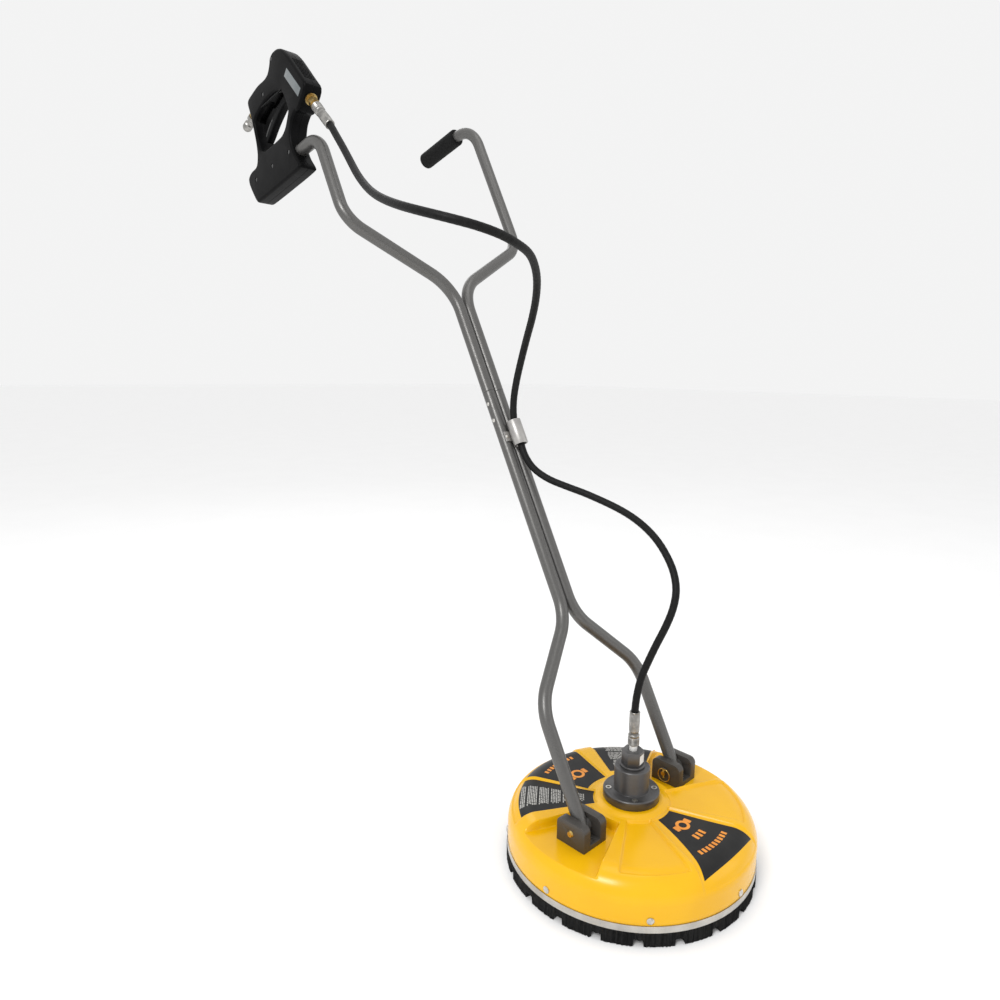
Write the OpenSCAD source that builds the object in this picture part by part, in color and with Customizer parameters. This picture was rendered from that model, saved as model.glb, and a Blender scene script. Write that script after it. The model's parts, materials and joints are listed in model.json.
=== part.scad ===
// Rotary surface cleaner: a domed deck with a spinning spray bar under it, a brush skirt,
// a fork handle that folds at two clevises, and a trigger gun that feeds the swivel by a hose.
// Origin: on the spray bar's axis, on the ground. The machine's front is -Y, +Z is up.

/* [Deck] */
// Outer radius of the deck
deck_r = 203; // [195:0.5:210]
// Wall thickness of the deck moulding
deck_wall = 4.5; // [3.5:0.5:5]
// Height of the deck's lower rim above the ground
rim_z = 33.4; // [31:0.2:36]
// Radius of the rounded shoulder
shoulder_r = 40; // [36:1:44]
// Height of the deck's top at the shoulder
plateau_z = 102; // [100:0.5:103]
// Height of the two flat pockets that carry the clevises
pocket_z = 88; // [87:0.5:90]
// Half angle of a pocket
pocket_half = 22; // [21:0.5:24]

/* [Skirt] */
// Height of the brush below the steel band
brush_h = 22.8; // [20:0.2:25]
// Outer radius of the brush
brush_r = 205.5; // [205:0.1:207]
// Number of notches in the brush's foot
notch_count = 21; // [12:1:30]
// Width of a notch
notch_w = 15; // [8:0.5:20]
// Height of a notch
notch_h = 10; // [5:0.5:14]
// Number of screws round the rim
rim_screws = 8; // [4:1:12]

/* [Clevis] */
// Distance of each clevis from the middle of the deck
bracket_x = 126; // [124:0.5:128]
// Width of a clevis across its ears
bracket_w = 52; // [50:0.5:54]
// Length of a clevis from front to back
bracket_l = 55; // [50:1:60]
// Gap between the ears
bracket_gap = 24; // [23:0.1:25]
// Height of the handle's pivot above the ground
pivot_z = 109; // [107:0.5:111]
// Radius of the clevis pins
pin_r = 4; // [3.5:0.1:4.5]
// Mean radius of the linch pins' rings
ring_r = 11.5; // [10:0.5:12]

/* [Handle] */
// Lean of the handle back from upright, in degrees
lean = 28; // [20:1:32]
// Outer diameter of the handle tube
tube_d = 22.2; // [21:0.1:23]
// Wall of the handle tube
tube_wall = 1.6; // [1.2:0.1:2]
// Distance along the handle from the pivot to the lower fork's bend
fork_s = 190; // [180:1:200]
// Distance along the handle to where the two tubes meet
join_s = 310; // [300:1:320]
// Distance along the handle to the seam between lower and upper tubes
seam_s = 733; // [720:1:745]
// Distance along the handle to where the two tubes part again
part_s = 946; // [930:1:960]
// Distance along the handle to the upper fork's bend
upper_s = 1059; // [1050:1:1070]
// Half width of the upper fork
upper_x = 204; // [200:1:208]
// Distance along the handle to the bend below the gun
gun_bend_s = 1223; // [1218:1:1228]
// Distance along the handle to the bend below the foam grip
grip_bend_s = 1363; // [1358:1:1370]
// Centreline radius of the fork bends
fork_bend_r = 85; // [60:1:90]
// Centreline radius of the upper fork's outer bends
upper_bend_r = 58; // [50:1:70]
// Centreline radius of the bend below the gun
gun_bend_r = 42; // [36:1:46]
// Centreline radius of the bend below the foam grip
grip_bend_r = 66; // [58:1:70]
// Tilt of the gun's tube, in degrees, from square to the handle
stub_tilt = 17; // [15:0.5:19]
// Tilt of the foam grip, in degrees, from square to the handle
grip_tilt = 14.5; // [13:0.5:16]

/* [Hose] */
// Outer diameter of the hose
hose_d = 12.2; // [11:0.2:13]

/* [Gun] */
// Width of the gun's body
gun_w = 35; // [32:0.5:38]
// Tilt of the gun's barrel, in degrees, from the line of the handle
barrel_tilt = 20; // [18:1:22]

/* [Hidden] */
$fn = 64;
eps = 0.05;

yellow = [0.95, 0.68, 0.03];
graphite = [0.29, 0.28, 0.27];
steel = [0.62, 0.62, 0.62];
brass = [0.78, 0.6, 0.25];
black = [0.07, 0.07, 0.07];

// Deck levels and radii.
wall_r = deck_r - deck_wall;
shoulder_x = deck_r - shoulder_r;
shoulder_z = plateau_z - shoulder_r;
boss_r = 52;
boss_z = 107;
cone_r = 62;
cone_z = 103;
pocket_r = 72;
panel_in = 64;
panel_out = 176;
panel_depth = 2.2;
panel_half = 18;
panel_rim_z = shoulder_z + sqrt(pow(shoulder_r, 2) - pow(panel_out - shoulder_x, 2)) - panel_depth;
screw_z = 42;
band_wall = 1.2;

// Swivel, from the deck up.
flange_r = 46.3;
flange_top = 122;
body_r = 29;
body_top = 162.5;
spigot_r = 30;
spigot_z = 90;
bolt_pcr = 37.7;
bearing_r = 20;
bearing_h = 12;
bearing_z = [96, 136];
seal_top = 156;
collar_top = 166.5;
hex_top = 190;
hex_af = 32;
bore_r = 4;
shaft_r = 8.5;
shaft_top = 157;
shaft_foot = 44;
run_gap = 0.03;
stem_r = 6.5;
nut_z = 199;
nut_h = 20;
waist_h = 3;
ferrule_h = 35;
ferrule_r = 8.7;
fitting_h = nut_h + waist_h + ferrule_h;
socket_r = hose_d / 2 + 0.25;
socket_h = 15;

// Spray bar.
bar_z = 53;
bar_angle = 20;
arm_r = 6.85;
arm_end = 165;
hub_r = 19;
nozzle_r = 7;
nozzle_foot = 24;

// Clevis and pin.
ear_top = 127.5;
ear_round = 10;
base_top = 96;
clevis_bolt_y = 17;
pin_out = 8;
pin_head = 2.5;
ring_x = bracket_x - bracket_w / 2 - 4.5;
ring_wire = 0.8;
linch_r = 1.5;
ring_open = 15;
linch_top = pivot_z + 6.5;

// Handle, in its own frame: X across, Y to the operator, Z along the tubes.
tube_r = tube_d / 2;
tube_in = tube_r - tube_wall;
eye_r = tube_r;
guide_y = -24;
guide_s = [620, 665];
guide_out = 13;
guide_in = 10.4;
guide_screw_x = 16;
guide_screw_s = 641;
screw_s = [678, 710];
stub_len = 190;
grip_len = 175;
grip_start = 53;
grip_splay = 8;
foam_r = 17.5;

right_lower = [
  [bracket_x, 0, 0], [bracket_x, 0, fork_s], [tube_r + eps, 0, join_s],
  [tube_r + eps, 0, seam_s]
];
upper_fork = [
  [tube_r + eps, 0, seam_s], [tube_r + eps, 0, part_s], [upper_x, 0, upper_s]
];
grip_apex = [upper_x, 0, grip_bend_s];
grip_dir = unit([grip_splay / grip_len, cos(grip_tilt), sin(grip_tilt)]);
right_upper = concat(upper_fork, [grip_apex, grip_apex + grip_len * grip_dir]);
gun_apex = [upper_x, 0, gun_bend_s];
stub_dir = [0, cos(stub_tilt), sin(stub_tilt)];
left_upper = concat(upper_fork, [gun_apex, gun_apex + stub_len * stub_dir]);

// Gun, in the handle's frame at X = -upper_x: points are [towards the operator, up the handle].
half_w = gun_w / 2;
outlet = [-12, 1288];
inlet_s = 1406;
inlet_y = 155;
inlet_tilt = 5;
inlet_face = 14;
valve_u = 56;
valve_pin_r = 2.5;
trigger_at = [27, 1324];
lock_at = [120, 1346];
gun_outline = [
  [-33, 1297], [-22, 1330], [-12, 1362], [-4, 1386], [6, 1406], [18, 1417], [33, 1423],
  [46, 1422], [54, 1413], [66, 1406], [80, 1407], [106, 1417], [132, 1421], [150, 1423],
  [157, 1417], [158, 1395], [162, 1366], [167, 1339], [174, 1318], [187, 1303],
  [212, 1310], [228, 1307], [232, 1294], [224, 1250], [214, 1244], [58, 1199],
  [52, 1203], [60, 1230], [60, 1252], [54, 1268], [40, 1282], [22, 1288], [12, 1281]
];
finger_gap = [
  [38, 1306], [50, 1297], [64, 1288], [80, 1285], [115, 1295], [146, 1305],
  [158, 1316], [154, 1336], [150, 1356], [145, 1369], [100, 1367], [64, 1362],
  [46, 1352], [39, 1338]
];
trigger_slot = [
  [16, 1312], [16, 1342], [34, 1362], [60, 1376], [110, 1381], [110, 1360], [45, 1345],
  [45, 1302], [38, 1300], [26, 1308]
];
lock_slot = [[100, 1360], [100, 1384], [150, 1384], [150, 1360]];
trigger_shape = [
  [20, 1326], [22, 1336], [32, 1345], [60, 1352], [104, 1347], [145, 1335],
  [148, 1328], [144, 1324], [104, 1334], [62, 1338], [44, 1332], [36, 1322], [27, 1317],
  [21, 1320]
];
slot_w = 19;
trigger_w = 14;
lock_w = 8;
tube_screws = [77.5, 142.5];
gun_screw_at = concat(
  [for (a = tube_screws) [a * cos(stub_tilt), gun_bend_s + a * sin(stub_tilt)]],
  [[201, 1284], [98, 1389], [42, 1416]]
);

// Hose centreline, gun to sleeve and sleeve to swivel. Its ends lie in the ferrules' sockets.
function on_world(p) = [p[0], p[1] * cos(lean) + p[2] * sin(lean),
                        pivot_z - p[1] * sin(lean) + p[2] * cos(lean)];
function barrel_point(u) = on_world([-upper_x, outlet[0] + u * sin(barrel_tilt),
                                     outlet[1] + u * cos(barrel_tilt)]);
barrel_end = -21 - fitting_h;
upper_route = [
  barrel_point(barrel_end + socket_h), barrel_point(barrel_end - 4),
  [-206, 514, 1178], [-212, 484, 1152],
  [-222, 448, 1123], [-236, 408, 1095], [-252, 364, 1070], [-270, 316, 1048],
  [-286, 266, 1029], [-297, 214, 1012], [-298, 166, 998], [-284, 128, 987],
  [-256, 105, 979], [-220, 97, 972], [-184, 101, 965], [-146, 115, 958],
  [-112, 136, 946], [-82, 160, 929], [-57, 186, 906], [-37, 213, 879],
  [-22, 239, 849], [-11, 261, 817], [-4, 278, 785], [-1, 288, 755],
  [0, 291, 731], [0, 288.5, 708], [0, 280.5, 688], [0, 270, 668]
];
lower_route = [
  [0, 270, 668], [0, 259.5, 648], [5, 243, 627], [17, 218, 610], [34, 188, 598],
  [47, 160, 589], [58, 132, 579], [66, 104, 569], [70, 76, 558], [71, 48, 544],
  [69, 22, 527], [64, -1, 507], [58, -20, 484], [50, -32, 458], [41, -34, 430],
  [32, -28, 400], [23, -19, 371], [15, -11, 343], [7, -4, 314], [2, -1, 286],
  [0, 0, 262], [0, 0, nut_z + fitting_h - socket_h]
];
hose_sides = 10;
hose_ref = [-0.6, 0.3, 0.74];

// ---- Helpers ----

function unit(v) = v / norm(v);

// A rigid frame with its Z along d and its X square to the reference vector.
function frame_z(p, d, ref = [0.31, 0.17, 0.93]) =
  let (z = unit(d), x = unit(cross(abs(z * unit(ref)) > 0.95 ? [1, 0, 0] : ref, z)),
       y = cross(z, x))
  [[x[0], y[0], z[0], p[0]], [x[1], y[1], z[1], p[1]], [x[2], y[2], z[2], p[2]],
   [0, 0, 0, 1]];

// Length that a bend of radius r takes from each side of corner i of a path.
function bend_cut(p, i, r) =
  i <= 0 || i >= len(p) - 1 ? 0
  : let (a = unit(p[i] - p[i - 1]), b = unit(p[i + 1] - p[i]))
    r * tan(acos(a * b) / 2);

// A solid rod of radius r along a path, with round bends of the listed radii. The straights are
// a hair thinner than the bends and run a little way into them.
module rod_run(p, radii, r, over) {
  for (i = [0 : len(p) - 2]) {
    d = unit(p[i + 1] - p[i]);
    a = p[i] + d * (i == 0 ? -over : bend_cut(p, i, radii[i]) - 0.5);
    b = p[i + 1] - d * (i == len(p) - 2 ? -over : bend_cut(p, i + 1, radii[i + 1]) - 0.5);
    multmatrix(frame_z(a, d)) cylinder(r = r - 0.05, h = norm(b - a));
  }
  for (i = [1 : len(p) - 2]) {
    d = unit(p[i] - p[i - 1]);
    e = unit(p[i + 1] - p[i]);
    m = unit(e - (e * d) * d);
    n = cross(d, m);
    c = p[i] - d * bend_cut(p, i, radii[i]) + m * radii[i];
    multmatrix([[-m[0], d[0], n[0], c[0]], [-m[1], d[1], n[1], c[1]],
                [-m[2], d[2], n[2], c[2]], [0, 0, 0, 1]])
      rotate_extrude(angle = acos(d * e)) translate([radii[i], 0]) circle(r);
  }
}

// A pipe of outer radius ro and bore ri along a path.
module pipe_run(p, radii, ro, ri) {
  difference() {
    rod_run(p, radii, ro, 0);
    rod_run(p, radii, ri, 1);
  }
}

// A straight pipe standing on Z = 0.
module ring_bar(ro, ri, h) {
  difference() {
    cylinder(r = ro, h = h);
    translate([0, 0, -1]) cylinder(r = ri, h = h + 2);
  }
}

// A ring between two radii and two heights, on the deck's axis.
module ring_z(ri, ro, z0, z1) {
  translate([0, 0, z0]) ring_bar(ro, ri, z1 - z0);
}

// A tube swept through points with flat-sided rings.
module hose_tube(p) {
  last = len(p) - 1;
  rings = [for (i = [0 : last])
    let (d = unit(p[min(i + 1, last)] - p[max(i - 1, 0)]),
         x = unit(cross(hose_ref, d)), y = cross(d, x))
    for (k = [0 : hose_sides - 1])
      p[i] + hose_d / 2 * (cos(360 * k / hose_sides) * x + sin(360 * k / hose_sides) * y)];
  walls = [for (i = [0 : last - 1], k = [0 : hose_sides - 1])
    let (k2 = (k + 1) % hose_sides, a = i * hose_sides)
    each [[a + k, a + hose_sides + k, a + k2],
          [a + k2, a + hose_sides + k, a + hose_sides + k2]]];
  cap0 = [[for (k = [0 : hose_sides - 1]) k]];
  cap1 = [[for (k = [0 : hose_sides - 1]) last * hose_sides + hose_sides - 1 - k]];
  polyhedron(points = rings, faces = concat(walls, cap0, cap1), convexity = 6);
}

// Places a child in the handle's own frame.
module on_handle() {
  translate([0, 0, pivot_z]) rotate([-lean, 0, 0]) children();
}

// Extrudes a [Y, Z] outline across X between two places.
module slab_x(points, x0, x1) {
  translate([x0, 0, 0]) rotate([90, 0, 90]) linear_extrude(x1 - x0) polygon(points);
}

// A rod across X.
module rod_x(x0, x1, at, r) {
  translate([x0, at[0], at[1]]) rotate([0, 90, 0]) cylinder(r = r, h = x1 - x0);
}

// Places a child on the gun's barrel axis, u along it from the outlet face, up the barrel.
module on_barrel(u) {
  translate([-upper_x, outlet[0], outlet[1]]) rotate([-barrel_tilt, 0, 0])
    translate([0, 0, u]) children();
}

// Places a child on the grip's inlet axis, pointing to the operator, u along it from the grip.
module on_inlet(u) {
  translate([-upper_x, inlet_y, inlet_s]) rotate([inlet_tilt - 90, 0, 0])
    translate([0, 0, u]) children();
}

// ---- Deck ----

// The deck's outline in section, wall thickness w inside the outer face.
module deck_section(w, floor_z) {
  translate([0, floor_z]) square([shoulder_x, plateau_z - w - floor_z]);
  translate([shoulder_x, floor_z]) square([shoulder_r - w, shoulder_z - floor_z]);
  intersection() {
    translate([shoulder_x, shoulder_z]) circle(shoulder_r - w);
    translate([shoulder_x, shoulder_z]) square(shoulder_r);
  }
  polygon([[0, plateau_z - w], [shoulder_x, plateau_z - w], [cone_r, cone_z - w],
           [boss_r - w / 2, boss_z - w], [0, boss_z - w]]);
}

// A sector block about the middle angle.
module sector(middle, half, r0, r1, z0, z1) {
  rotate([0, 0, middle - half]) rotate_extrude(angle = 2 * half)
    translate([r0, z0]) square([r1 - r0, z1 - z0]);
}

module deck_shell() color(yellow) {
  difference() {
    rotate_extrude($fn = 128) deck_section(0, rim_z);
    difference() {
      rotate_extrude($fn = 128) deck_section(deck_wall, rim_z - 1);
      for (a = [0, 180])
        sector(a, pocket_half + 2.5, pocket_r - deck_wall, deck_r + 5,
               pocket_z - deck_wall, 130);
    }
    for (a = [0, 180]) sector(a, pocket_half, pocket_r, deck_r + 5, pocket_z, 130);
    for (a = [-45, -135]) rotate([0, 0, a - panel_half])
      rotate_extrude(angle = 2 * panel_half)
        polygon([[panel_in, cone_z - panel_depth], [shoulder_x, plateau_z - panel_depth],
                 [panel_out, panel_rim_z], [panel_out, 120], [panel_in, 120]]);
    translate([0, 0, 80]) cylinder(r = spigot_r + 0.3, h = 40);
    for (a = [45 : 90 : 315]) rotate([0, 0, a]) translate([bolt_pcr, 0, 80])
      cylinder(r = 3.3, h = 40);
    for (sx = [-1, 1], sy = [-1, 1]) translate([sx * bracket_x, sy * clevis_bolt_y, 80])
      cylinder(r = 3.3, h = 20);
    for (i = [1 : rim_screws]) rotate([0, 0, i * 360 / rim_screws])
      translate([wall_r - 2, 0, screw_z]) rotate([0, 90, 0]) cylinder(r = 2.1, h = 10);
  }
}

module rim_band() color(steel) {
  ring_z(deck_r - 0.2, deck_r + band_wall - 0.2, brush_h, rim_z);
  ring_z(194.1, deck_r - 0.2, rim_z - band_wall, rim_z);
}

module brush_skirt() color(black) {
  difference() {
    union() {
      ring_z(194.1, brush_r, 0, brush_h);
      ring_z(194.1, deck_r - 0.4, brush_h, rim_z - band_wall);
    }
    for (i = [1 : notch_count]) rotate([0, 0, i * 360 / notch_count + 15])
      translate([180, -notch_w / 2, -1]) cube([40, notch_w, notch_h + 1]);
  }
}

module brush_holder() color(graphite) {
  difference() {
    rotate_extrude($fn = 128) polygon([[188, 24], [194, 24], [194, rim_z + 0.1],
      [wall_r - 0.1, rim_z + 0.1], [wall_r - 0.1, 50], [188, 50]]);
    for (i = [1 : rim_screws]) rotate([0, 0, i * 360 / rim_screws])
      translate([180, 0, screw_z]) rotate([0, 90, 0]) cylinder(r = 2.1, h = 30);
  }
}

module rim_screws() color(steel) {
  for (i = [1 : rim_screws]) rotate([0, 0, i * 360 / rim_screws])
    translate([deck_r + 0.1, 0, screw_z]) rotate([0, 90, 0]) {
      translate([0, 0, -16]) cylinder(r = 2, h = 16);
      cylinder(r = 5.4, h = 1.2);
      translate([0, 0, 1.2]) cylinder(r1 = 5.4, r2 = 3.4, h = 1.4);
    }
}

// ---- Clevises ----

// One clevis block, drawn at +X.
module clevis_block() {
  x0 = bracket_x - bracket_w / 2;
  x1 = bracket_x + bracket_w / 2;
  half = bracket_l / 2;
  difference() {
    union() {
      translate([x0, -half, pocket_z]) cube([bracket_w, bracket_l, ear_top - ear_round - pocket_z]);
      translate([x0, -half + ear_round, ear_top - ear_round])
        cube([bracket_w, bracket_l - 2 * ear_round, ear_round]);
      for (sy = [-1, 1]) intersection() {
        rod_x(x0, x1, [sy * (half - ear_round), ear_top - ear_round], ear_round);
        translate([x0, sy * (half - ear_round / 2) - ear_round / 2, ear_top - ear_round])
          cube([bracket_w, ear_round, ear_round]);
      }
    }
    translate([bracket_x - bracket_gap / 2, -half - 1, base_top])
      cube([bracket_gap, bracket_l + 2, 50]);
    rod_x(x0 - 1, x1 + 1, [0, pivot_z], pin_r + 0.05);
    for (sy = [-1, 1]) translate([bracket_x, sy * clevis_bolt_y, pocket_z - 1])
      cylinder(r = 3.3, h = 20);
  }
}

module clevis_left() color(graphite) mirror([1, 0, 0]) clevis_block();
module clevis_right() color(graphite) clevis_block();

// Button head bolts up through the deck, with washers under it and low heads in the clevises.
module clevis_bolts() color(steel) {
  for (sx = [-1, 1], sy = [-1, 1]) translate([sx * bracket_x, sy * clevis_bolt_y, 0]) {
    translate([0, 0, 76]) cylinder(r = 3, h = base_top - 76);
    translate([0, 0, base_top]) cylinder(r = 4.5, h = 0.9);
    translate([0, 0, 78]) cylinder(r = 6, h = 5.4, $fn = 6);
  }
}

// One clevis pin with a low head outside and a cross hole for its ring inside.
module clevis_pin() {
  x0 = bracket_x - bracket_w / 2 - pin_out;
  x1 = bracket_x + bracket_w / 2;
  difference() {
    union() {
      rod_x(x0, x1, [0, pivot_z], pin_r);
      translate([x1, 0, pivot_z]) rotate([0, 90, 0]) cylinder(r1 = 5.5, r2 = 4.2, h = pin_head);
    }
    translate([ring_x, 0, pivot_z - 10]) cylinder(r = linch_r, h = 20);
  }
}

// Linch pin down through the clevis pin's cross hole, with a head that its ring swings in.
module linch_pin() {
  translate([ring_x, 0, pivot_z - 9]) cylinder(r = linch_r, h = 13);
  difference() {
    translate([ring_x, 0, pivot_z + 4]) cylinder(r = 2.6, h = 4.4);
    translate([ring_x, 5, linch_top]) rotate([90, 0, 0]) cylinder(r = ring_wire + 0.1, h = 10);
  }
}

module clevis_pin_left() color(steel) mirror([1, 0, 0]) clevis_pin();
module clevis_pin_right() color(steel) clevis_pin();

// Spring ring round the clevis pin, hung in the linch pin's head by a straight end.
module linch_ring() {
  translate([ring_x, -3.2, linch_top]) rotate([-90, 0, 0]) cylinder(r = ring_wire, h = 6.4);
  translate([ring_x, 0, linch_top - ring_r + ring_wire]) rotate([0, 90, 0])
    rotate([0, 0, 180 + ring_open]) rotate_extrude(angle = 360 - 2 * ring_open)
      translate([ring_r, 0]) circle(ring_wire, $fn = 24);
}

module linch_pin_left() color(steel) mirror([1, 0, 0]) linch_pin();
module linch_pin_right() color(steel) linch_pin();
module linch_ring_left() color(steel) mirror([1, 0, 0]) linch_ring();
module linch_ring_right() color(steel) linch_ring();

// ---- Swivel ----

module swivel_gasket() color(black) {
  difference() {
    ring_z(spigot_r + 0.3, flange_r - 1, boss_z, boss_z + 1);
    for (a = [45 : 90 : 315]) rotate([0, 0, a]) translate([bolt_pcr, 0, 100])
      cylinder(r = 3.3, h = 20);
  }
}

module swivel_housing() color(graphite) {
  difference() {
    rotate_extrude($fn = 128) polygon([[0, spigot_z], [spigot_r, spigot_z],
      [spigot_r, boss_z + 1], [flange_r, boss_z + 1], [flange_r, flange_top - 1.5],
      [flange_r - 1.5, flange_top], [body_r, flange_top], [body_r, body_top - 1.5],
      [body_r - 1.5, body_top], [0, body_top]]);
    translate([0, 0, spigot_z - 1]) cylinder(r = bearing_r, h = 148 - spigot_z + 1);
    translate([0, 0, 147]) cylinder(r = 13, h = 11);
    translate([0, 0, 150]) cylinder(r = 6, h = 20);
    for (a = [45 : 90 : 315]) rotate([0, 0, a]) translate([bolt_pcr, 0, 100]) {
      cylinder(r = 3.3, h = 40);
      translate([0, 0, 16.8]) cylinder(r = 5.3, h = 20);
    }
  }
}

// Socket head bolts sunk in the flange, with nuts under the deck.
module flange_bolts() color(steel) {
  for (a = [45 : 90 : 315]) rotate([0, 0, a]) translate([bolt_pcr, 0, 0]) {
    translate([0, 0, 95]) cylinder(r = 3, h = 22);
    difference() {
      translate([0, 0, 116.8]) cylinder(r = 5, h = 5.6);
      translate([0, 0, 118.8]) cylinder(r = 2.9, h = 5, $fn = 6);
    }
    translate([0, 0, 97.4]) cylinder(r = 5.7, h = 5, $fn = 6);
  }
}

module bearing_lower() color(steel) {
  ring_z(shaft_r + run_gap, bearing_r, bearing_z[0], bearing_z[0] + bearing_h);
}
module bearing_upper() color(steel) {
  ring_z(shaft_r + run_gap, bearing_r, bearing_z[1], bearing_z[1] + bearing_h);
}
module bearing_spacer() color(graphite) {
  ring_z(17, bearing_r - 0.1, bearing_z[0] + bearing_h, bearing_z[1]);
}
module retaining_ring() color(steel) {
  ring_z(17, bearing_r, bearing_z[0] - 1.6, bearing_z[0]);
}
module pressure_seal() color(black) {
  ring_z(shaft_r + run_gap, 13, bearing_z[1] + bearing_h, seal_top);
}
module swivel_collar() color(graphite) {
  ring_z(6.1, 20.7, body_top, collar_top);
}

module inlet_adapter() color(graphite) {
  difference() {
    union() {
      translate([0, 0, body_top - 4]) cylinder(r = 6, h = collar_top - body_top + 4);
      translate([0, 0, collar_top]) rotate([0, 0, 10])
        cylinder(d = hex_af / cos(30), h = hex_top - collar_top, $fn = 6);
    }
    translate([0, 0, 150]) cylinder(r = bore_r, h = 50);
    translate([0, 0, hex_top - 12]) cylinder(r = stem_r, h = 20);
  }
}

module hose_stem_lower() color(steel) {
  ring_z(3, stem_r, hex_top - 12, nut_z + 12);
}

// Swivel nut of a hose end, standing on Z = 0.
module hose_nut() {
  difference() {
    rotate_extrude() polygon([[0, 0], [8.6, 0], [9.6, 1.5], [9.6, nut_h - 2.5],
      [8.2, nut_h], [0, nut_h]]);
    translate([0, 0, -1]) cylinder(r = stem_r, h = 13);
    translate([0, 0, -1]) cylinder(r = 3, h = 60);
  }
}

// Crimped ferrule of a hose end, standing above its nut.
module hose_ferrule() {
  translate([0, 0, nut_h]) difference() {
    rotate_extrude() polygon([[0, 0], [7.4, 0], [7.4, waist_h], [ferrule_r, waist_h + 0.8],
      [ferrule_r, waist_h + ferrule_h - 1], [ferrule_r - 0.8, waist_h + ferrule_h],
      [0, waist_h + ferrule_h]]);
    translate([0, 0, -1]) cylinder(r = 3, h = 60);
    translate([0, 0, waist_h + ferrule_h - socket_h]) cylinder(r = socket_r, h = socket_h + 1);
  }
}

module hose_nut_lower() color(steel) translate([0, 0, nut_z]) hose_nut();
module hose_ferrule_lower() color(steel) translate([0, 0, nut_z]) hose_ferrule();

// ---- Spray bar ----

module rotor_shaft() color(steel) {
  difference() {
    union() {
      translate([0, 0, shaft_foot]) cylinder(r = shaft_r, h = shaft_top - shaft_foot);
      translate([0, 0, 84]) cylinder(r = 11, h = 11.8);
    }
    translate([0, 0, bar_z]) cylinder(r = bore_r, h = 120);
    rotate([0, 90, bar_angle + 90]) translate([-bar_z, 0, -20]) cylinder(r = bore_r, h = 40);
  }
}

module rotor_hub() color(steel) {
  difference() {
    translate([0, 0, shaft_foot - 4]) cylinder(r = hub_r, h = 26);
    translate([0, 0, shaft_foot]) cylinder(r = shaft_r, h = 60);
    rotate([0, 90, bar_angle + 90]) translate([-bar_z, 0, -40]) cylinder(r = arm_r, h = 80);
  }
}

// One spray arm, from the shaft out along Y before the bar's own angle.
module spray_arm(turn) {
  rotate([0, 0, bar_angle + turn]) difference() {
    union() {
      translate([0, shaft_r + 1.5, bar_z]) rotate([-90, 0, 0])
        cylinder(r = arm_r, h = arm_end - shaft_r - 1.5);
      translate([0, arm_end, 40]) cylinder(r = 9, h = 22);
    }
    translate([0, 0, bar_z]) rotate([-90, 0, 0]) cylinder(r = bore_r, h = arm_end);
    translate([0, arm_end, 30]) cylinder(r = 4.5, h = 24);
  }
}

module spray_arm_front() color(steel) spray_arm(180);
module spray_arm_rear() color(steel) spray_arm(0);

// One fan nozzle, screwed up into its arm.
module nozzle(turn) {
  rotate([0, 0, bar_angle + turn]) translate([0, arm_end, 0]) difference() {
    union() {
      translate([0, 0, 36]) cylinder(r = 4.5, h = 10);
      translate([0, 0, 31]) cylinder(r = nozzle_r, h = 9, $fn = 6);
      translate([0, 0, nozzle_foot]) cylinder(r1 = 4, r2 = 5.5, h = 7);
    }
    translate([0, 0, 20]) cylinder(r = 1.2, h = 30);
  }
}

module nozzle_front() color(brass) nozzle(180);
module nozzle_rear() color(brass) nozzle(0);

// ---- Handle ----

module pivot_eye() {
  difference() {
    rod_x(bracket_x - bracket_gap / 2 + 0.7, bracket_x + bracket_gap / 2 - 0.7, [0, 0], eye_r);
    rod_x(0, 200, [0, 0], pin_r + 0.05);
  }
}

module pivot_eye_left() color(graphite) on_handle() mirror([1, 0, 0]) pivot_eye();
module pivot_eye_right() color(graphite) on_handle() pivot_eye();

module lower_tube() {
  difference() {
    pipe_run(right_lower, [0, fork_bend_r, fork_bend_r, 0], tube_r, tube_in);
    rod_x(bracket_x - 20, bracket_x + 20, [0, 0], eye_r);
    translate([bracket_x - 20, -20, -30]) cube([40, 40, 30]);
    for (s = screw_s) rod_x(tube_r + 5, 40, [0, s], 2);
    guide_hole();
  }
}

// The guide's screw hole in the front of a lower tube.
module guide_hole() {
  translate([guide_screw_x, -30, guide_screw_s]) rotate([-90, 0, 0]) cylinder(r = 2, h = 28);
}

module lower_tube_left() color(graphite) on_handle() mirror([1, 0, 0]) lower_tube();
module lower_tube_right() color(graphite) on_handle() lower_tube();

// Inner sleeve across the seam of one side's tubes.
module joiner() {
  difference() {
    translate([tube_r + eps, 0, seam_s - 73]) ring_bar(tube_in - 0.1, 7.6, 146);
    for (s = screw_s) rod_x(tube_r + 5, 40, [0, s], 2);
  }
}

module joiners() color(steel) on_handle() {
  joiner();
  mirror([1, 0, 0]) joiner();
}

module handle_screws() color(steel) on_handle() {
  for (sx = [0, 1], s = screw_s) mirror([sx, 0, 0]) {
    rod_x(tube_r + 7, 2 * tube_r + 0.3, [0, s], 1.95);
    translate([2 * tube_r + eps, 0, s]) rotate([0, 90, 0]) cylinder(r1 = 3.4, r2 = 2, h = 1.6);
  }
  for (sx = [-1, 1]) translate([sx * guide_screw_x, 0, guide_screw_s]) {
    translate([0, -tube_r - 2, 0]) rotate([-90, 0, 0]) cylinder(r = 1.95, h = 8);
    translate([0, -tube_r - 2, 0]) rotate([90, 0, 0]) cylinder(r1 = 3.6, r2 = 2.4, h = 2.2);
  }
}

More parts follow.
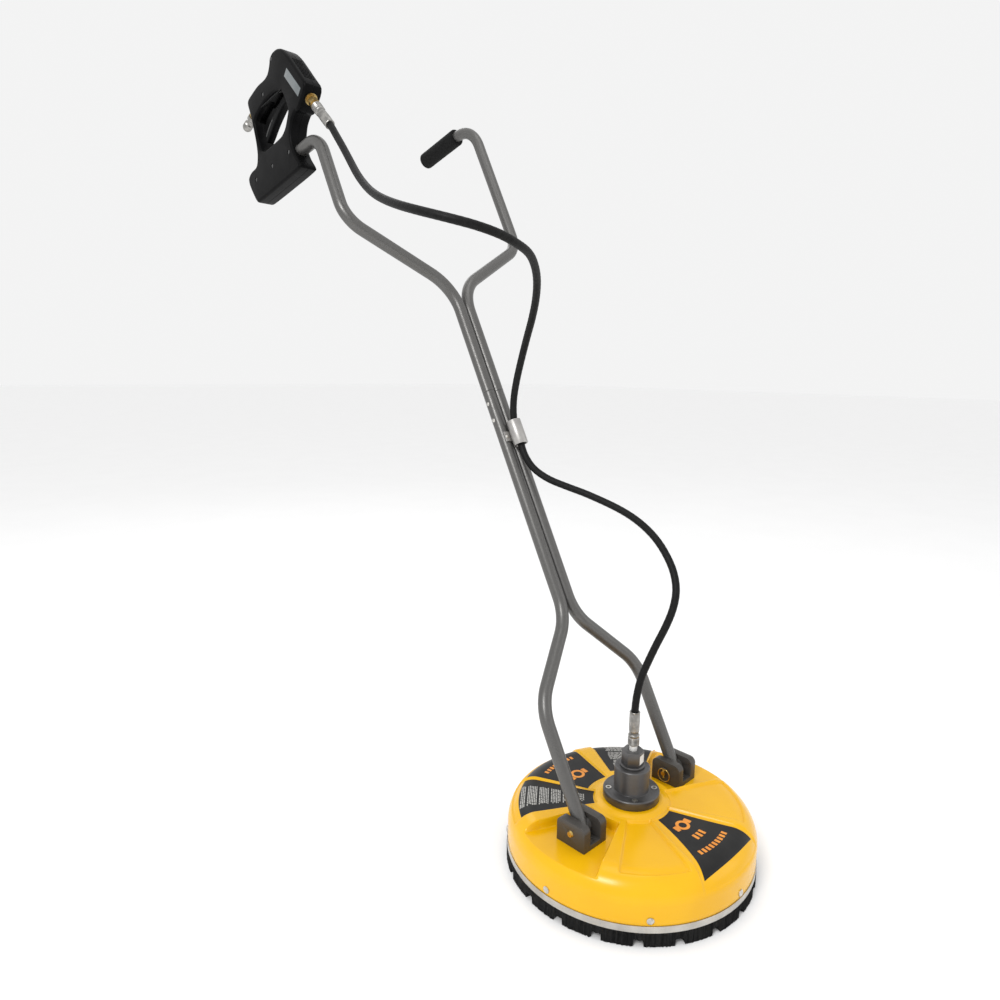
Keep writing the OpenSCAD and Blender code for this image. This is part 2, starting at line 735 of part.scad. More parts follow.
module upper_tube_left() color(graphite) on_handle() difference() {
  mirror([1, 0, 0])
    pipe_run(left_upper, [0, fork_bend_r, upper_bend_r, gun_bend_r, 0], tube_r, tube_in);
  for (p = gun_screw_at) rod_x(-upper_x - 30, -upper_x + 30, p, 2);
}
module upper_tube_right() color(graphite) on_handle()
  pipe_run(right_upper, [0, fork_bend_r, upper_bend_r, grip_bend_r, 0], tube_r, tube_in);

module foam_grip() color(black) on_handle()
  multmatrix(frame_z(grip_apex + grip_start * grip_dir, grip_dir)) difference() {
    rotate_extrude() polygon([[tube_r, 0], [foam_r - 2, 0], [foam_r, 2],
      [foam_r, grip_len - grip_start - 2], [foam_r - 2, grip_len - grip_start],
      [tube_r, grip_len - grip_start]]);
  }

module grip_plug() color(black) on_handle()
  multmatrix(frame_z(grip_apex + grip_len * grip_dir, grip_dir)) {
    translate([0, 0, -18]) cylinder(r = tube_in - 0.1, h = 18);
    cylinder(r1 = tube_r + 2, r2 = tube_r, h = 2.5);
  }

// Sleeve that the hose runs through, on a saddle plate across both tubes.
module hose_guide() color(steel) on_handle() {
  difference() {
    union() {
      translate([0, guide_y, guide_s[0]]) cylinder(r = guide_out, h = guide_s[1] - guide_s[0]);
      translate([-20, -tube_r - 2, guide_screw_s - 9]) cube([40, 1.9, 18]);
    }
    translate([0, guide_y, guide_s[0] - 1]) cylinder(r = guide_in, h = 60);
    for (sx = [-1, 1]) translate([sx * guide_screw_x, -30, guide_screw_s])
      rotate([-90, 0, 0]) cylinder(r = 2.05, h = 25);
  }
}

// ---- Gun ----

// Room inside the gun for its metal parts, its trigger, its tube and its screws.
module gun_room() {
  on_barrel(-4) cylinder(r = 11, h = 124);
  on_barrel(-20) cylinder(r = 8.2, h = 40);
  on_inlet(-129) cylinder(r = 9.2, h = 24);
  on_inlet(-115) cylinder(r = 6.1, h = 120);
  on_inlet(-inlet_face) cylinder(r = 8.2, h = 40);
  multmatrix(frame_z([-upper_x, 0, gun_bend_s] + 40 * stub_dir, stub_dir))
    cylinder(r = tube_r + 0.05, h = stub_len - 39);
  slab_x(trigger_slot, -upper_x - slot_w / 2, -upper_x + slot_w / 2);
  slab_x(lock_slot, -upper_x - 6, -upper_x + 6);
  rod_x(-upper_x - 30, -upper_x + 30, trigger_at, 2.05);
  for (p = gun_screw_at) {
    rod_x(-upper_x - 30, -upper_x + 12, p, 2);
    rod_x(-upper_x - half_w - 1, -upper_x - half_w + 3, p, 3.7);
  }
}

// One half of the gun's body, from the seam out to one face.
module gun_half(x0, x1) {
  difference() {
    slab_x(gun_outline, x0, x1);
    slab_x(finger_gap, x0 - 1, x1 + 1);
    gun_room();
  }
}

module gun_shell_left() color(black) on_handle() gun_half(-upper_x - half_w, -upper_x);
module gun_shell_right() color(black) on_handle() gun_half(-upper_x, -upper_x + half_w);

module gun_screws() color(steel) on_handle() {
  for (p = gun_screw_at) {
    rod_x(-upper_x - half_w + 2, -upper_x + 12, p, 1.95);
    rod_x(-upper_x - half_w + 1, -upper_x - half_w + 3, p, 3.6);
  }
}

module valve_block() color(brass) on_handle() {
  difference() {
    union() {
      on_barrel(0) cylinder(r = 10.8, h = 118);
      on_inlet(-129) cylinder(r = 9, h = 22);
    }
    on_barrel(-1) cylinder(r = bore_r, h = 112);
    on_inlet(-127) cylinder(r = bore_r, h = 40);
    on_barrel(valve_u) rotate([-90, 0, 0]) cylinder(r = valve_pin_r + run_gap, h = 20);
  }
}

// Push pin between the trigger and the valve, square to the barrel.
module valve_pin() color(steel) on_handle() on_barrel(valve_u) translate([0, 6, 0])
  rotate([-90, 0, 0]) cylinder(r = valve_pin_r, h = 9.2);

module grip_pipe() color(steel) on_handle() on_inlet(-107) ring_bar(6, 3.5, 107 - inlet_face);

module inlet_fitting() color(brass) on_handle() on_inlet(-inlet_face) difference() {
  union() {
    cylinder(r = 8, h = 18);
    translate([0, 0, 18]) cylinder(r = 9.6, h = 11, $fn = 6);
    translate([0, 0, 29]) cylinder(r = 6.6, h = 3);
  }
  translate([0, 0, -1]) cylinder(r = bore_r, h = 40);
}

// Quick-connect plug for the pressure hose.
module quick_plug() color(steel) on_handle() on_inlet(32 - inlet_face) difference() {
  rotate_extrude() polygon([[0, 0], [9, 0], [9, 9], [6.4, 12], [6.4, 19], [8.6, 21],
    [8.6, 33], [6.8, 37], [0, 37]]);
  translate([0, 0, -1]) cylinder(r = 3.5, h = 50);
}

module outlet_fitting() color(brass) on_handle() on_barrel(0) mirror([0, 0, 1]) difference() {
  union() {
    cylinder(r = 7.4, h = 4);
    translate([0, 0, 4]) cylinder(r = 8.7, h = 11, $fn = 6);
    translate([0, 0, 15]) cylinder(r = stem_r, h = 18);
  }
  translate([0, 0, -1]) cylinder(r = 3, h = 60);
}

module hose_nut_upper() color(steel) on_handle() on_barrel(-21) mirror([0, 0, 1]) hose_nut();
module hose_ferrule_upper() color(steel) on_handle() on_barrel(-21) mirror([0, 0, 1])
  hose_ferrule();

module trigger_pin() color(steel) on_handle()
  rod_x(-upper_x - half_w + 0.5, -upper_x + half_w - 0.5, trigger_at, 2);

module trigger() color(black) on_handle() {
  difference() {
    slab_x(trigger_shape, -upper_x - trigger_w / 2, -upper_x + trigger_w / 2);
    rod_x(-upper_x - 20, -upper_x + 20, trigger_at, 2.05);
    slab_x([[96, 1343], [96, 1360], [158, 1360], [158, 1328]],
           -upper_x - lock_w / 2 - 0.5, -upper_x + lock_w / 2 + 0.5);
  }
}

// Safety latch, folded flat in the trigger's groove.
module trigger_lock() color(graphite) on_handle() difference() {
  slab_x([[116, 1349], [122, 1350], [147, 1343], [146, 1336], [120, 1341], [115, 1344]],
         -upper_x - lock_w / 2, -upper_x + lock_w / 2);
  rod_x(-upper_x - 20, -upper_x + 20, lock_at, 1);
}

// ---- Hose ----

module hose_upper() color(black) hose_tube(upper_route);
module hose_lower() color(black) hose_tube(lower_route);

deck_shell();
rim_band();
brush_skirt();
brush_holder();
rim_screws();
clevis_left();
clevis_right();
clevis_bolts();
clevis_pin_left();
clevis_pin_right();
linch_pin_left();
linch_pin_right();
linch_ring_left();
linch_ring_right();
swivel_gasket();
swivel_housing();
flange_bolts();
bearing_lower();
bearing_upper();
bearing_spacer();
retaining_ring();
pressure_seal();
swivel_collar();
inlet_adapter();
hose_stem_lower();
hose_nut_lower();
hose_ferrule_lower();
rotor_shaft();
rotor_hub();
spray_arm_front();
spray_arm_rear();
nozzle_front();
nozzle_rear();
pivot_eye_left();
pivot_eye_right();
lower_tube_left();
lower_tube_right();
joiners();
handle_screws();
upper_tube_left();
upper_tube_right();
foam_grip();
grip_plug();
hose_guide();
gun_shell_left();
gun_shell_right();
gun_screws();
valve_block();
valve_pin();
grip_pipe();
inlet_fitting();
quick_plug();
outlet_fitting();
hose_nut_upper();
hose_ferrule_upper();
trigger_pin();
trigger();
trigger_lock();
hose_upper();
hose_lower();
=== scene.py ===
import json
import math

import bmesh
import bpy
import numpy as np
from mathutils import Matrix, Vector


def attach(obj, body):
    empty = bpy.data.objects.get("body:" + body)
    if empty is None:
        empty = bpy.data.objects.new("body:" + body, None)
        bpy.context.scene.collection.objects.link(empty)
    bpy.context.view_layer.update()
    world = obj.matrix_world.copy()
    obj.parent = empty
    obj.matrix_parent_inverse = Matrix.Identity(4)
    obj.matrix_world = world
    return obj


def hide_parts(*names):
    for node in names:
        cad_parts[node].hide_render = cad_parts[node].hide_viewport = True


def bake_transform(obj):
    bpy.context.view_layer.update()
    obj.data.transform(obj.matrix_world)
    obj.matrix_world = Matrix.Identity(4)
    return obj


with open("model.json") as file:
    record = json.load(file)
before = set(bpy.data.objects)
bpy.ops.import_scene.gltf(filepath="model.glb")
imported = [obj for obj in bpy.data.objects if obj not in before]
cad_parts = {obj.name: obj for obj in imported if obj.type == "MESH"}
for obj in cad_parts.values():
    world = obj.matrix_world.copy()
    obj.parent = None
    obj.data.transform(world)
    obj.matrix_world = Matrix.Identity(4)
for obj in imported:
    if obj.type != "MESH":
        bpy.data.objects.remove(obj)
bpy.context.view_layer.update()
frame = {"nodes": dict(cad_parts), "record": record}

MM = 0.001
LEAN = math.radians(28)
PIVOT_Z = 109
UPPER_X = 204
HANDLE = Matrix.Translation((0, 0, PIVOT_Z * MM)) @ Matrix.Rotation(-LEAN, 4, "X")
rng = np.random.default_rng(16)


def on_handle(x, t, s):
    """A point of the handle's own frame, in mm, as a point of the row frame in metres."""
    return HANDLE @ Vector((x * MM, t * MM, s * MM))


# ---- Camera ----

CAMERA_AT = (-0.910, -0.636, 0.796)
CAMERA_AZIMUTH = math.radians(-45.03)
CAMERA_ELEVATION = math.radians(10.78)
CAMERA_ROLL = math.radians(0.92)


def make_camera():
    a, e, roll = CAMERA_AZIMUTH, CAMERA_ELEVATION, CAMERA_ROLL
    back = Vector((math.sin(a) * math.cos(e), -math.cos(a) * math.cos(e), math.sin(e)))
    right = Vector((math.cos(a), math.sin(a), 0))
    up = back.cross(right)
    x = math.cos(roll) * right + math.sin(roll) * up
    y = math.cos(roll) * up - math.sin(roll) * right
    data = bpy.data.cameras.new("camera")
    data.lens = 26.13
    data.sensor_width = 36
    data.shift_x = -0.0189
    data.shift_y = 0.0086
    camera = bpy.data.objects.new("camera", data)
    turn = Matrix((x, y, back)).transposed().to_4x4()
    camera.matrix_world = Matrix.Translation(CAMERA_AT) @ turn
    bpy.context.scene.collection.objects.link(camera)
    bpy.context.scene.camera = camera


make_camera()


# ---- Materials ----

def nodes_of(name):
    """A new material with its tree, its shader and the row-frame coordinates."""
    m = bpy.data.materials.new(name)
    m.use_nodes = True
    tree = m.node_tree
    shader = tree.nodes["Principled BSDF"]
    place = tree.nodes.new("ShaderNodeTexCoord")
    return m, tree, shader, place.outputs["Object"]


def noise(tree, at, scale, detail=3.0, stretch=None):
    if stretch:
        mapping = tree.nodes.new("ShaderNodeMapping")
        mapping.inputs["Scale"].default_value = stretch
        tree.links.new(at, mapping.inputs["Vector"])
        at = mapping.outputs["Vector"]
    n = tree.nodes.new("ShaderNodeTexNoise")
    n.inputs["Scale"].default_value = scale
    n.inputs["Detail"].default_value = detail
    tree.links.new(at, n.inputs["Vector"])
    return n.outputs["Fac"]


def spread(tree, value, low, high):
    r = tree.nodes.new("ShaderNodeMapRange")
    r.inputs["From Min"].default_value = 0.3
    r.inputs["From Max"].default_value = 0.7
    r.inputs["To Min"].default_value = low
    r.inputs["To Max"].default_value = high
    tree.links.new(value, r.inputs["Value"])
    return r.outputs["Result"]


def blend_colour(tree, value, a, b):
    ramp = tree.nodes.new("ShaderNodeValToRGB")
    ramp.color_ramp.elements[0].position = 0.35
    ramp.color_ramp.elements[0].color = (*a, 1)
    ramp.color_ramp.elements[1].position = 0.65
    ramp.color_ramp.elements[1].color = (*b, 1)
    tree.links.new(value, ramp.inputs["Fac"])
    return ramp.outputs["Color"]


def bump(tree, shader, value, height, strength=1.0, under=None):
    b = tree.nodes.new("ShaderNodeBump")
    b.inputs["Strength"].default_value = strength
    b.inputs["Distance"].default_value = height
    tree.links.new(value, b.inputs["Height"])
    if under:
        tree.links.new(under, b.inputs["Normal"])
    tree.links.new(b.outputs["Normal"], shader.inputs["Normal"])
    return b.outputs["Normal"]


def surface(name, a, b, rough, metal=0.0, grain=300, tone=40, height=0.00003, stretch=None,
            coat=0.0, specular=0.5):
    """A finish between two colours, with fine grain in bump and roughness."""
    m, tree, shader, at = nodes_of(name)
    fine = noise(tree, at, grain, 4, stretch)
    broad = noise(tree, at, tone, 3)
    tree.links.new(blend_colour(tree, broad, a, b), shader.inputs["Base Color"])
    tree.links.new(spread(tree, fine, *rough), shader.inputs["Roughness"])
    shader.inputs["Metallic"].default_value = metal
    shader.inputs["Coat Weight"].default_value = coat
    shader.inputs["Specular IOR Level"].default_value = specular
    bump(tree, shader, fine, height)
    return m


def speckled(name, a, b, rough, metal, grain, height):
    """A powder coat: fine two-tone flakes with an orange-peel skin."""
    m, tree, shader, at = nodes_of(name)
    flakes = noise(tree, at, grain, 2)
    peel = noise(tree, at, grain / 5, 2)
    tree.links.new(blend_colour(tree, flakes, a, b), shader.inputs["Base Color"])
    tree.links.new(spread(tree, peel, *rough), shader.inputs["Roughness"])
    shader.inputs["Metallic"].default_value = metal
    first = bump(tree, shader, peel, height)
    bump(tree, shader, flakes, height / 3, 0.6, first)
    return m


YELLOW = surface("deck_yellow", (0.76, 0.40, 0.001), (0.81, 0.44, 0.0015), (0.18, 0.28),
                 grain=900, tone=9, height=0.00002, specular=0.38)
BAND = surface("band_steel", (0.42, 0.41, 0.39), (0.56, 0.55, 0.52), (0.22, 0.42), metal=1.0,
               grain=350, tone=30, height=0.00002, stretch=(1, 1, 8))
BRISTLE = surface("bristle_black", (0.004, 0.004, 0.004), (0.012, 0.012, 0.012), (0.5, 0.75),
                  grain=700, tone=260, height=0.0002, stretch=(1, 1, 0.08), specular=0.16)
HOLDER = surface("holder_black", (0.012, 0.012, 0.012), (0.02, 0.02, 0.02), (0.45, 0.6),
                 grain=500, tone=60)
ZINC = surface("screw_zinc", (0.5, 0.49, 0.46), (0.68, 0.66, 0.62), (0.2, 0.36), metal=1.0,
               grain=900, tone=150, height=0.00002)
RING_BRASS = surface("ring_brass", (0.48, 0.33, 0.1), (0.62, 0.44, 0.15), (0.22, 0.36), metal=1.0,
                     grain=900, tone=150, height=0.00002)
CLEVIS = speckled("clevis_paint", (0.05, 0.046, 0.042), (0.075, 0.069, 0.062), (0.36, 0.5), 0.35,
                  1500, 0.00005)
SWIVEL = surface("swivel_dark", (0.085, 0.083, 0.083), (0.115, 0.113, 0.113), (0.3, 0.42),
                 metal=0.75, grain=500, tone=30, height=0.00003, stretch=(1, 1, 10))
STEEL = surface("turned_steel", (0.48, 0.48, 0.48), (0.6, 0.6, 0.6), (0.2, 0.36), metal=1.0,
                grain=500, tone=60, height=0.00002, stretch=(1, 1, 6))
SEAL = surface("seal_rubber", (0.012, 0.012, 0.012), (0.022, 0.022, 0.022), (0.5, 0.7),
               grain=600, tone=80)
TUBE = speckled("tube_paint", (0.085, 0.083, 0.08), (0.15, 0.147, 0.142), (0.3, 0.4), 0.6, 1500,
                0.00003)
SLEEVE = surface("sleeve_metal", (0.36, 0.35, 0.34), (0.46, 0.45, 0.43), (0.34, 0.48), metal=0.85,
                 grain=700, tone=60, height=0.00003)
FOAM = surface("foam_black", (0.004, 0.004, 0.004), (0.010, 0.010, 0.010), (0.7, 0.9),
               grain=1300, tone=300, height=0.00035, specular=0.15)
PLUG = surface("plug_black", (0.012, 0.012, 0.012), (0.02, 0.02, 0.02), (0.35, 0.5), grain=500,
               tone=60)
GUN = surface("gun_black", (0.002, 0.002, 0.0022), (0.004, 0.004, 0.0043), (0.34, 0.48),
              grain=1500, tone=60, height=0.00006, specular=0.06)
LOCK = surface("lock_grey", (0.05, 0.05, 0.05), (0.07, 0.07, 0.07), (0.4, 0.55), grain=900,
               tone=60, height=0.00004)
BRASS = surface("fitting_brass", (0.42, 0.3, 0.12), (0.54, 0.4, 0.17), (0.26, 0.4), metal=1.0,
                grain=600, tone=120, height=0.00002)
NICKEL = surface("fitting_zinc", (0.24, 0.235, 0.225), (0.38, 0.37, 0.35), (0.3, 0.44), metal=1.0,
                 grain=700, tone=120, height=0.00002)
HOSE = surface("hose_black", (0.004, 0.004, 0.004), (0.008, 0.008, 0.008), (0.42, 0.6), grain=1400,
               tone=200, height=0.0001, specular=0.16)
PLATE = surface("gun_plate", (0.11, 0.125, 0.13), (0.14, 0.155, 0.16), (0.3, 0.42), grain=900,
                tone=60, coat=0.2)
LABEL = surface("label_black", (0.010, 0.010, 0.010), (0.017, 0.0165, 0.016), (0.34, 0.46),
                grain=700, tone=30, height=0.00001, specular=0.2)
ORANGE = surface("label_orange", (0.72, 0.24, 0.015), (0.8, 0.29, 0.02), (0.3, 0.42), grain=700,
                 tone=30, height=0.00001)
PALE = surface("label_pale", (0.4, 0.39, 0.37), (0.5, 0.49, 0.46), (0.35, 0.5), grain=700, tone=30,
               height=0.00001)
NIPPLE = surface("stem_bright", (0.72, 0.71, 0.69), (0.84, 0.83, 0.8), (0.3, 0.42), metal=0.4,
                 grain=700, tone=120, height=0.00002)
STICKER = surface("blank_sticker", (0.72, 0.72, 0.7), (0.8, 0.8, 0.78), (0.35, 0.5), grain=500,
                  tone=60, height=0.00001)


# ---- Mesh helpers ----

def make(name, verts, faces, material, body=None, sharp=35):
    """A mesh piece from points in metres, smooth except along sharp edges."""
    data = bpy.data.meshes.new(name)
    data.from_pydata([tuple(v) for v in verts], [], [tuple(f) for f in faces])
    return finish_piece(name, data, material, body, sharp)


def finish_piece(name, data, material, body=None, sharp=35):
    bm = bmesh.new()
    bm.from_mesh(data)
    bmesh.ops.recalc_face_normals(bm, faces=bm.faces)
    bm.to_mesh(data)
    bm.free()
    data.materials.clear()
    data.materials.append(material)
    data.shade_smooth()
    data.set_sharp_from_angle(angle=math.radians(sharp))
    o = bpy.data.objects.new(name, data)
    bpy.context.scene.collection.objects.link(o)
    if body:
        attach(o, body)
    return o


def baked(o):
    """o's mesh with its modifiers applied."""
    bpy.context.view_layer.update()
    graph = bpy.context.evaluated_depsgraph_get()
    data = bpy.data.meshes.new_from_object(o.evaluated_get(graph))
    o.modifiers.clear()
    o.data = data
    return o


def lathe(profile, n, place=Matrix(), radius=None):
    """Points and faces of a closed (radius, height) profile in mm turned round Z.
    radius(i, k, r) can change a point's radius, where i is its place on the profile."""
    verts = []
    for i, (r, z) in enumerate(profile):
        for k in range(n):
            a = math.tau * k / n
            rr = radius(i, k, r) if radius else r
            verts.append(place @ Vector((rr * math.cos(a) * MM, rr * math.sin(a) * MM, z * MM)))
    faces = []
    count = len(profile)
    for i in range(count):
        j = (i + 1) % count
        for k in range(n):
            l = (k + 1) % n
            faces.append((i * n + k, i * n + l, j * n + l, j * n + k))
    return verts, faces


def arc(cx, cz, r, a0, a1, steps):
    """Points of a quarter or other arc in the (radius, height) plane, angles in degrees."""
    angles = np.radians(np.linspace(a0, a1, steps + 1))
    return [(cx + r * math.cos(a), cz + r * math.sin(a)) for a in angles]


def placed_z(point, direction):
    """A frame at a point with its Z along a direction."""
    turn = Vector((0, 0, 1)).rotation_difference(Vector(direction)).to_matrix().to_4x4()
    return Matrix.Translation(point) @ turn


def rounded(points, times=2):
    """A closed outline with its corners cut to curves."""
    p = np.array(points, float)
    for _ in range(times):
        q = np.roll(p, -1, axis=0)
        p = np.stack([0.8 * p + 0.2 * q, 0.2 * p + 0.8 * q], axis=1).reshape(-1, 2)
    return p


def inset(points, d):
    """An outline moved inwards by d along its corners' own normals."""
    p = np.asarray(points, float)
    ahead = np.roll(p, -1, axis=0) - p
    ahead /= np.linalg.norm(ahead, axis=1)[:, None]
    behind = np.roll(ahead, 1, axis=0)
    area = np.sum(p[:, 0] * np.roll(p[:, 1], -1) - p[:, 1] * np.roll(p[:, 0], -1))
    side = 1 if area > 0 else -1
    n = side * np.stack([-(ahead + behind)[:, 1], (ahead + behind)[:, 0]], axis=1)
    n /= np.linalg.norm(n, axis=1)[:, None]
    grow = 1 / np.clip(side * (-n[:, 0] * ahead[:, 1] + n[:, 1] * ahead[:, 0]), 0.6, 1)
    return p + d * n * grow[:, None]


def slab(name, outline, x0, x1, soft, material, hole=None, steps=4, groove=0.0,
         curve=2):
    """A plate across X in the handle's frame with rounded edges, and a round-edged hole."""
    loops = [(rounded(outline, curve), 1)]
    if hole is not None:
        loops.append((rounded(hole, curve), -1))
    turn = np.linspace(0, math.pi / 2, steps + 1)
    layers = [(x0 + soft * (1 - math.cos(a)), soft * (1 - math.sin(a))) for a in turn]
    middle = (x0 + x1) / 2
    if groove:
        layers += [(middle - groove, 0), (middle, groove), (middle + groove, 0)]
    layers += [(x1 - soft * (1 - math.cos(a)), soft * (1 - math.sin(a))) for a in turn[::-1]]
    bm = bmesh.new()
    caps = [[], []]
    for points, way in loops:
        rings = []
        for x, d in layers:
            ring = [bm.verts.new(on_handle(x, *q)) for q in inset(points, way * d)]
            rings.append(ring)
        n = len(points)
        for a, b in zip(rings, rings[1:]):
            for k in range(n):
                bm.faces.new((a[k], a[(k + 1) % n], b[(k + 1) % n], b[k]))
        for cap, ring in zip(caps, (rings[0], rings[-1])):
            cap += [bm.edges.get((ring[k], ring[(k + 1) % n])) for k in range(n)]
    for cap in caps:
        bmesh.ops.triangle_fill(bm, edges=cap, use_beauty=True)
    data = bpy.data.meshes.new(name)
    bm.to_mesh(data)
    bm.free()
    return finish_piece(name, data, material, sharp=30)


def cut(o, tools):
    """Takes the tools' shapes out of o, and removes them."""
    for tool in tools:
        m = o.modifiers.new("cut", "BOOLEAN")
        m.operation = "DIFFERENCE"
        m.solver = "EXACT"
        m.object = tool
        baked(o)
        bpy.data.objects.remove(tool)
    o.data.shade_smooth()
    o.data.set_sharp_from_angle(angle=math.radians(30))
    return o


def soften(node, width, material, segments=2, angle=30, body=None):
    """A copy of a CAD node with its sharp edges rounded, standing for it."""
    source = frame["nodes"][node]
    o = bpy.data.objects.new(node + "_soft", source.data.copy())
    bpy.context.scene.collection.objects.link(o)
    bm = bmesh.new()
    bm.from_mesh(o.data)
    bmesh.ops.remove_doubles(bm, verts=bm.verts, dist=1e-6)
    bmesh.ops.dissolve_limit(bm, angle_limit=math.radians(0.5), verts=bm.verts, edges=bm.edges)
    bm.to_mesh(o.data)
    bm.free()
    m = o.modifiers.new("edges", "BEVEL")
    m.width = width * MM
    m.segments = segments
    m.limit_method = "ANGLE"
    m.angle_limit = math.radians(angle)
    m.use_clamp_overlap = True
    baked(o)
    o.data.materials.clear()
    o.data.materials.append(material)
    o.data.shade_smooth()
    o.data.set_sharp_from_angle(angle=math.radians(35))
    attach(o, body or body_of[node])
    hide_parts(node)
    return o


body_of = {n: b for b, ns in frame["record"]["behaviour"]["bodies"].items() for n in ns}
slot_of = {s["node"]: s["material_slot"] for s in frame["record"]["subparts"]}


# ---- Hose ----

HOSE_D = 12.2
UPPER_ROUTE = [
    (-204, 545.8, 1208.4), (-204, 532.4, 1196.3),
    (-206, 514, 1178), (-212, 484, 1152),
    (-222, 448, 1123), (-236, 408, 1095), (-252, 364, 1070), (-270, 316, 1048),
    (-286, 266, 1029), (-297, 214, 1012), (-298, 166, 998), (-284, 128, 987),
    (-256, 105, 979), (-220, 97, 972), (-184, 101, 965), (-146, 115, 958),
    (-112, 136, 946), (-82, 160, 929), (-57, 186, 906), (-37, 213, 879),
    (-22, 239, 849), (-11, 261, 817), (-4, 278, 785), (-1, 288, 755),
    (0, 291, 731), (0, 288.5, 708), (0, 280.5, 688), (0, 270, 668),
]
LOWER_ROUTE = [
    (0, 270, 668), (0, 259.5, 648), (5, 243, 627), (17, 218, 610), (34, 188, 598),
    (47, 160, 589), (58, 132, 579), (66, 104, 569), (70, 76, 558), (71, 48, 544),
    (69, 22, 527), (64, -1, 507), (58, -20, 484), (50, -32, 458), (41, -34, 430),
    (32, -28, 400), (23, -19, 371), (15, -11, 343), (7, -4, 314), (2, -1, 286),
    (0, 0, 262), (0, 0, 242),
]


def smooth_path(points, step):
    """A smooth curve through the points, in metres, with a point every step of a metre."""
    p = np.array(points, float) * MM
    p = np.vstack([2 * p[0] - p[1], p, 2 * p[-1] - p[-2]])
    fine = []
    for a, b, c, d in zip(p, p[1:], p[2:], p[3:]):
        for u in np.linspace(0, 1, 24, endpoint=False):
            fine.append(0.5 * (2 * b + (c - a) * u + (2 * a - 5 * b + 4 * c - d) * u ** 2
                               + (3 * b - a - 3 * c + d) * u ** 3))
    fine.append(p[-2])
    fine = np.array(fine)
    for _ in range(30):
        fine[1:-1] += 0.3 * (fine[:-2] + fine[2:] - 2 * fine[1:-1])
    along = np.concatenate([[0], np.cumsum(np.linalg.norm(np.diff(fine, axis=0), axis=1))])
    at = np.linspace(0, along[-1], int(along[-1] / step) + 1)
    return np.stack([np.interp(at, along, fine[:, k]) for k in range(3)], axis=1), along[-1]


def tube_round(path, radius, sides, wave=0.0, pitch=8):
    """A tube along a path with a fine wrapped texture."""
    ahead = np.gradient(path, axis=0)
    ahead /= np.linalg.norm(ahead, axis=1)[:, None]
    side = np.cross(ahead[0], (0.3, 0.2, 0.9))
    side /= np.linalg.norm(side)
    verts = []
    for i, (p, d) in enumerate(zip(path, ahead)):
        side = side - np.dot(side, d) * d
        side /= np.linalg.norm(side)
        other = np.cross(d, side)
        for k in range(sides):
            a = math.tau * k / sides
            r = radius + wave * math.cos(a * 3 + math.tau * i / pitch)
            verts.append(p + r * (math.cos(a) * side + math.sin(a) * other))
    faces = []
    for i in range(len(path) - 1):
        for k in range(sides):
            l = (k + 1) % sides
            faces.append((i * sides + k, i * sides + l, (i + 1) * sides + l, (i + 1) * sides + k))
    faces.append(tuple(range(sides))[::-1])
    faces.append(tuple((len(path) - 1) * sides + k for k in range(sides)))
    return verts, faces


def make_hose():
    path, length = smooth_path(UPPER_ROUTE + LOWER_ROUTE[1:], 0.0024)
    o = make("hose", *tube_round(path, HOSE_D / 2 * MM, 20, 0.00008, 4), HOSE, sharp=60)
    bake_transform(o)
    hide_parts("hose_upper", "hose_lower")


make_hose()


# ---- Deck ----

DECK_R = 203
SHOULDER_R = 40
SHOULDER_X = DECK_R - SHOULDER_R
SHOULDER_Z = 62
RIM_Z = 33.4
POCKET_Z = 88
PANELS = [(-44, 19, 64, 180), (-132, 16.5, 64, 180), (-89.8, 22.3, 62, 201), (92, 21, 72, 196),
          (131.5, 17.3, 60, 196), (42, 19, 86, 206)]
PANEL_DEPTH = 3.6


def ease(x):
    x = np.clip(x, 0, 1)
    return x * x * (3 - 2 * x)


def sector_mask(r, deg, middle, half, r0, r1, edge):
    """1 inside a sector of the deck, falling to 0 across its soft edges, in mm."""
    off = np.abs((deg - middle + 180) % 360 - 180)
    inside = ease(np.radians(half - off) * r / edge + 0.5)
    return inside * ease((r - r0) / edge + 0.5) * ease((r1 - r) / edge + 0.5)


def plain_z(r):
    """Height of the deck's outer face without its pockets and panels, in mm."""
    z = np.interp(r, [0, 51, 54, 60, 64, SHOULDER_X], [107, 107, 106.2, 103.8, 103, 102])
    fall = SHOULDER_Z + np.sqrt(np.clip(SHOULDER_R ** 2 - (r - SHOULDER_X) ** 2, 0, None))
    return np.where(r > SHOULDER_X, fall, z)


def deck_z(r, deg):
    r, deg = np.asarray(r, float), np.asarray(deg, float)
    z = plain_z(r)
    for middle, half, r0, r1 in PANELS:
        z = z - PANEL_DEPTH * sector_mask(r, deg, middle, half, r0, r1, 3.2)
    for middle in (0, 180):
        deep = sector_mask(r, deg, middle, 22, 74, 400, 4)
        z = z - deep * np.clip(plain_z(r) - POCKET_Z, 0, None)
    return z


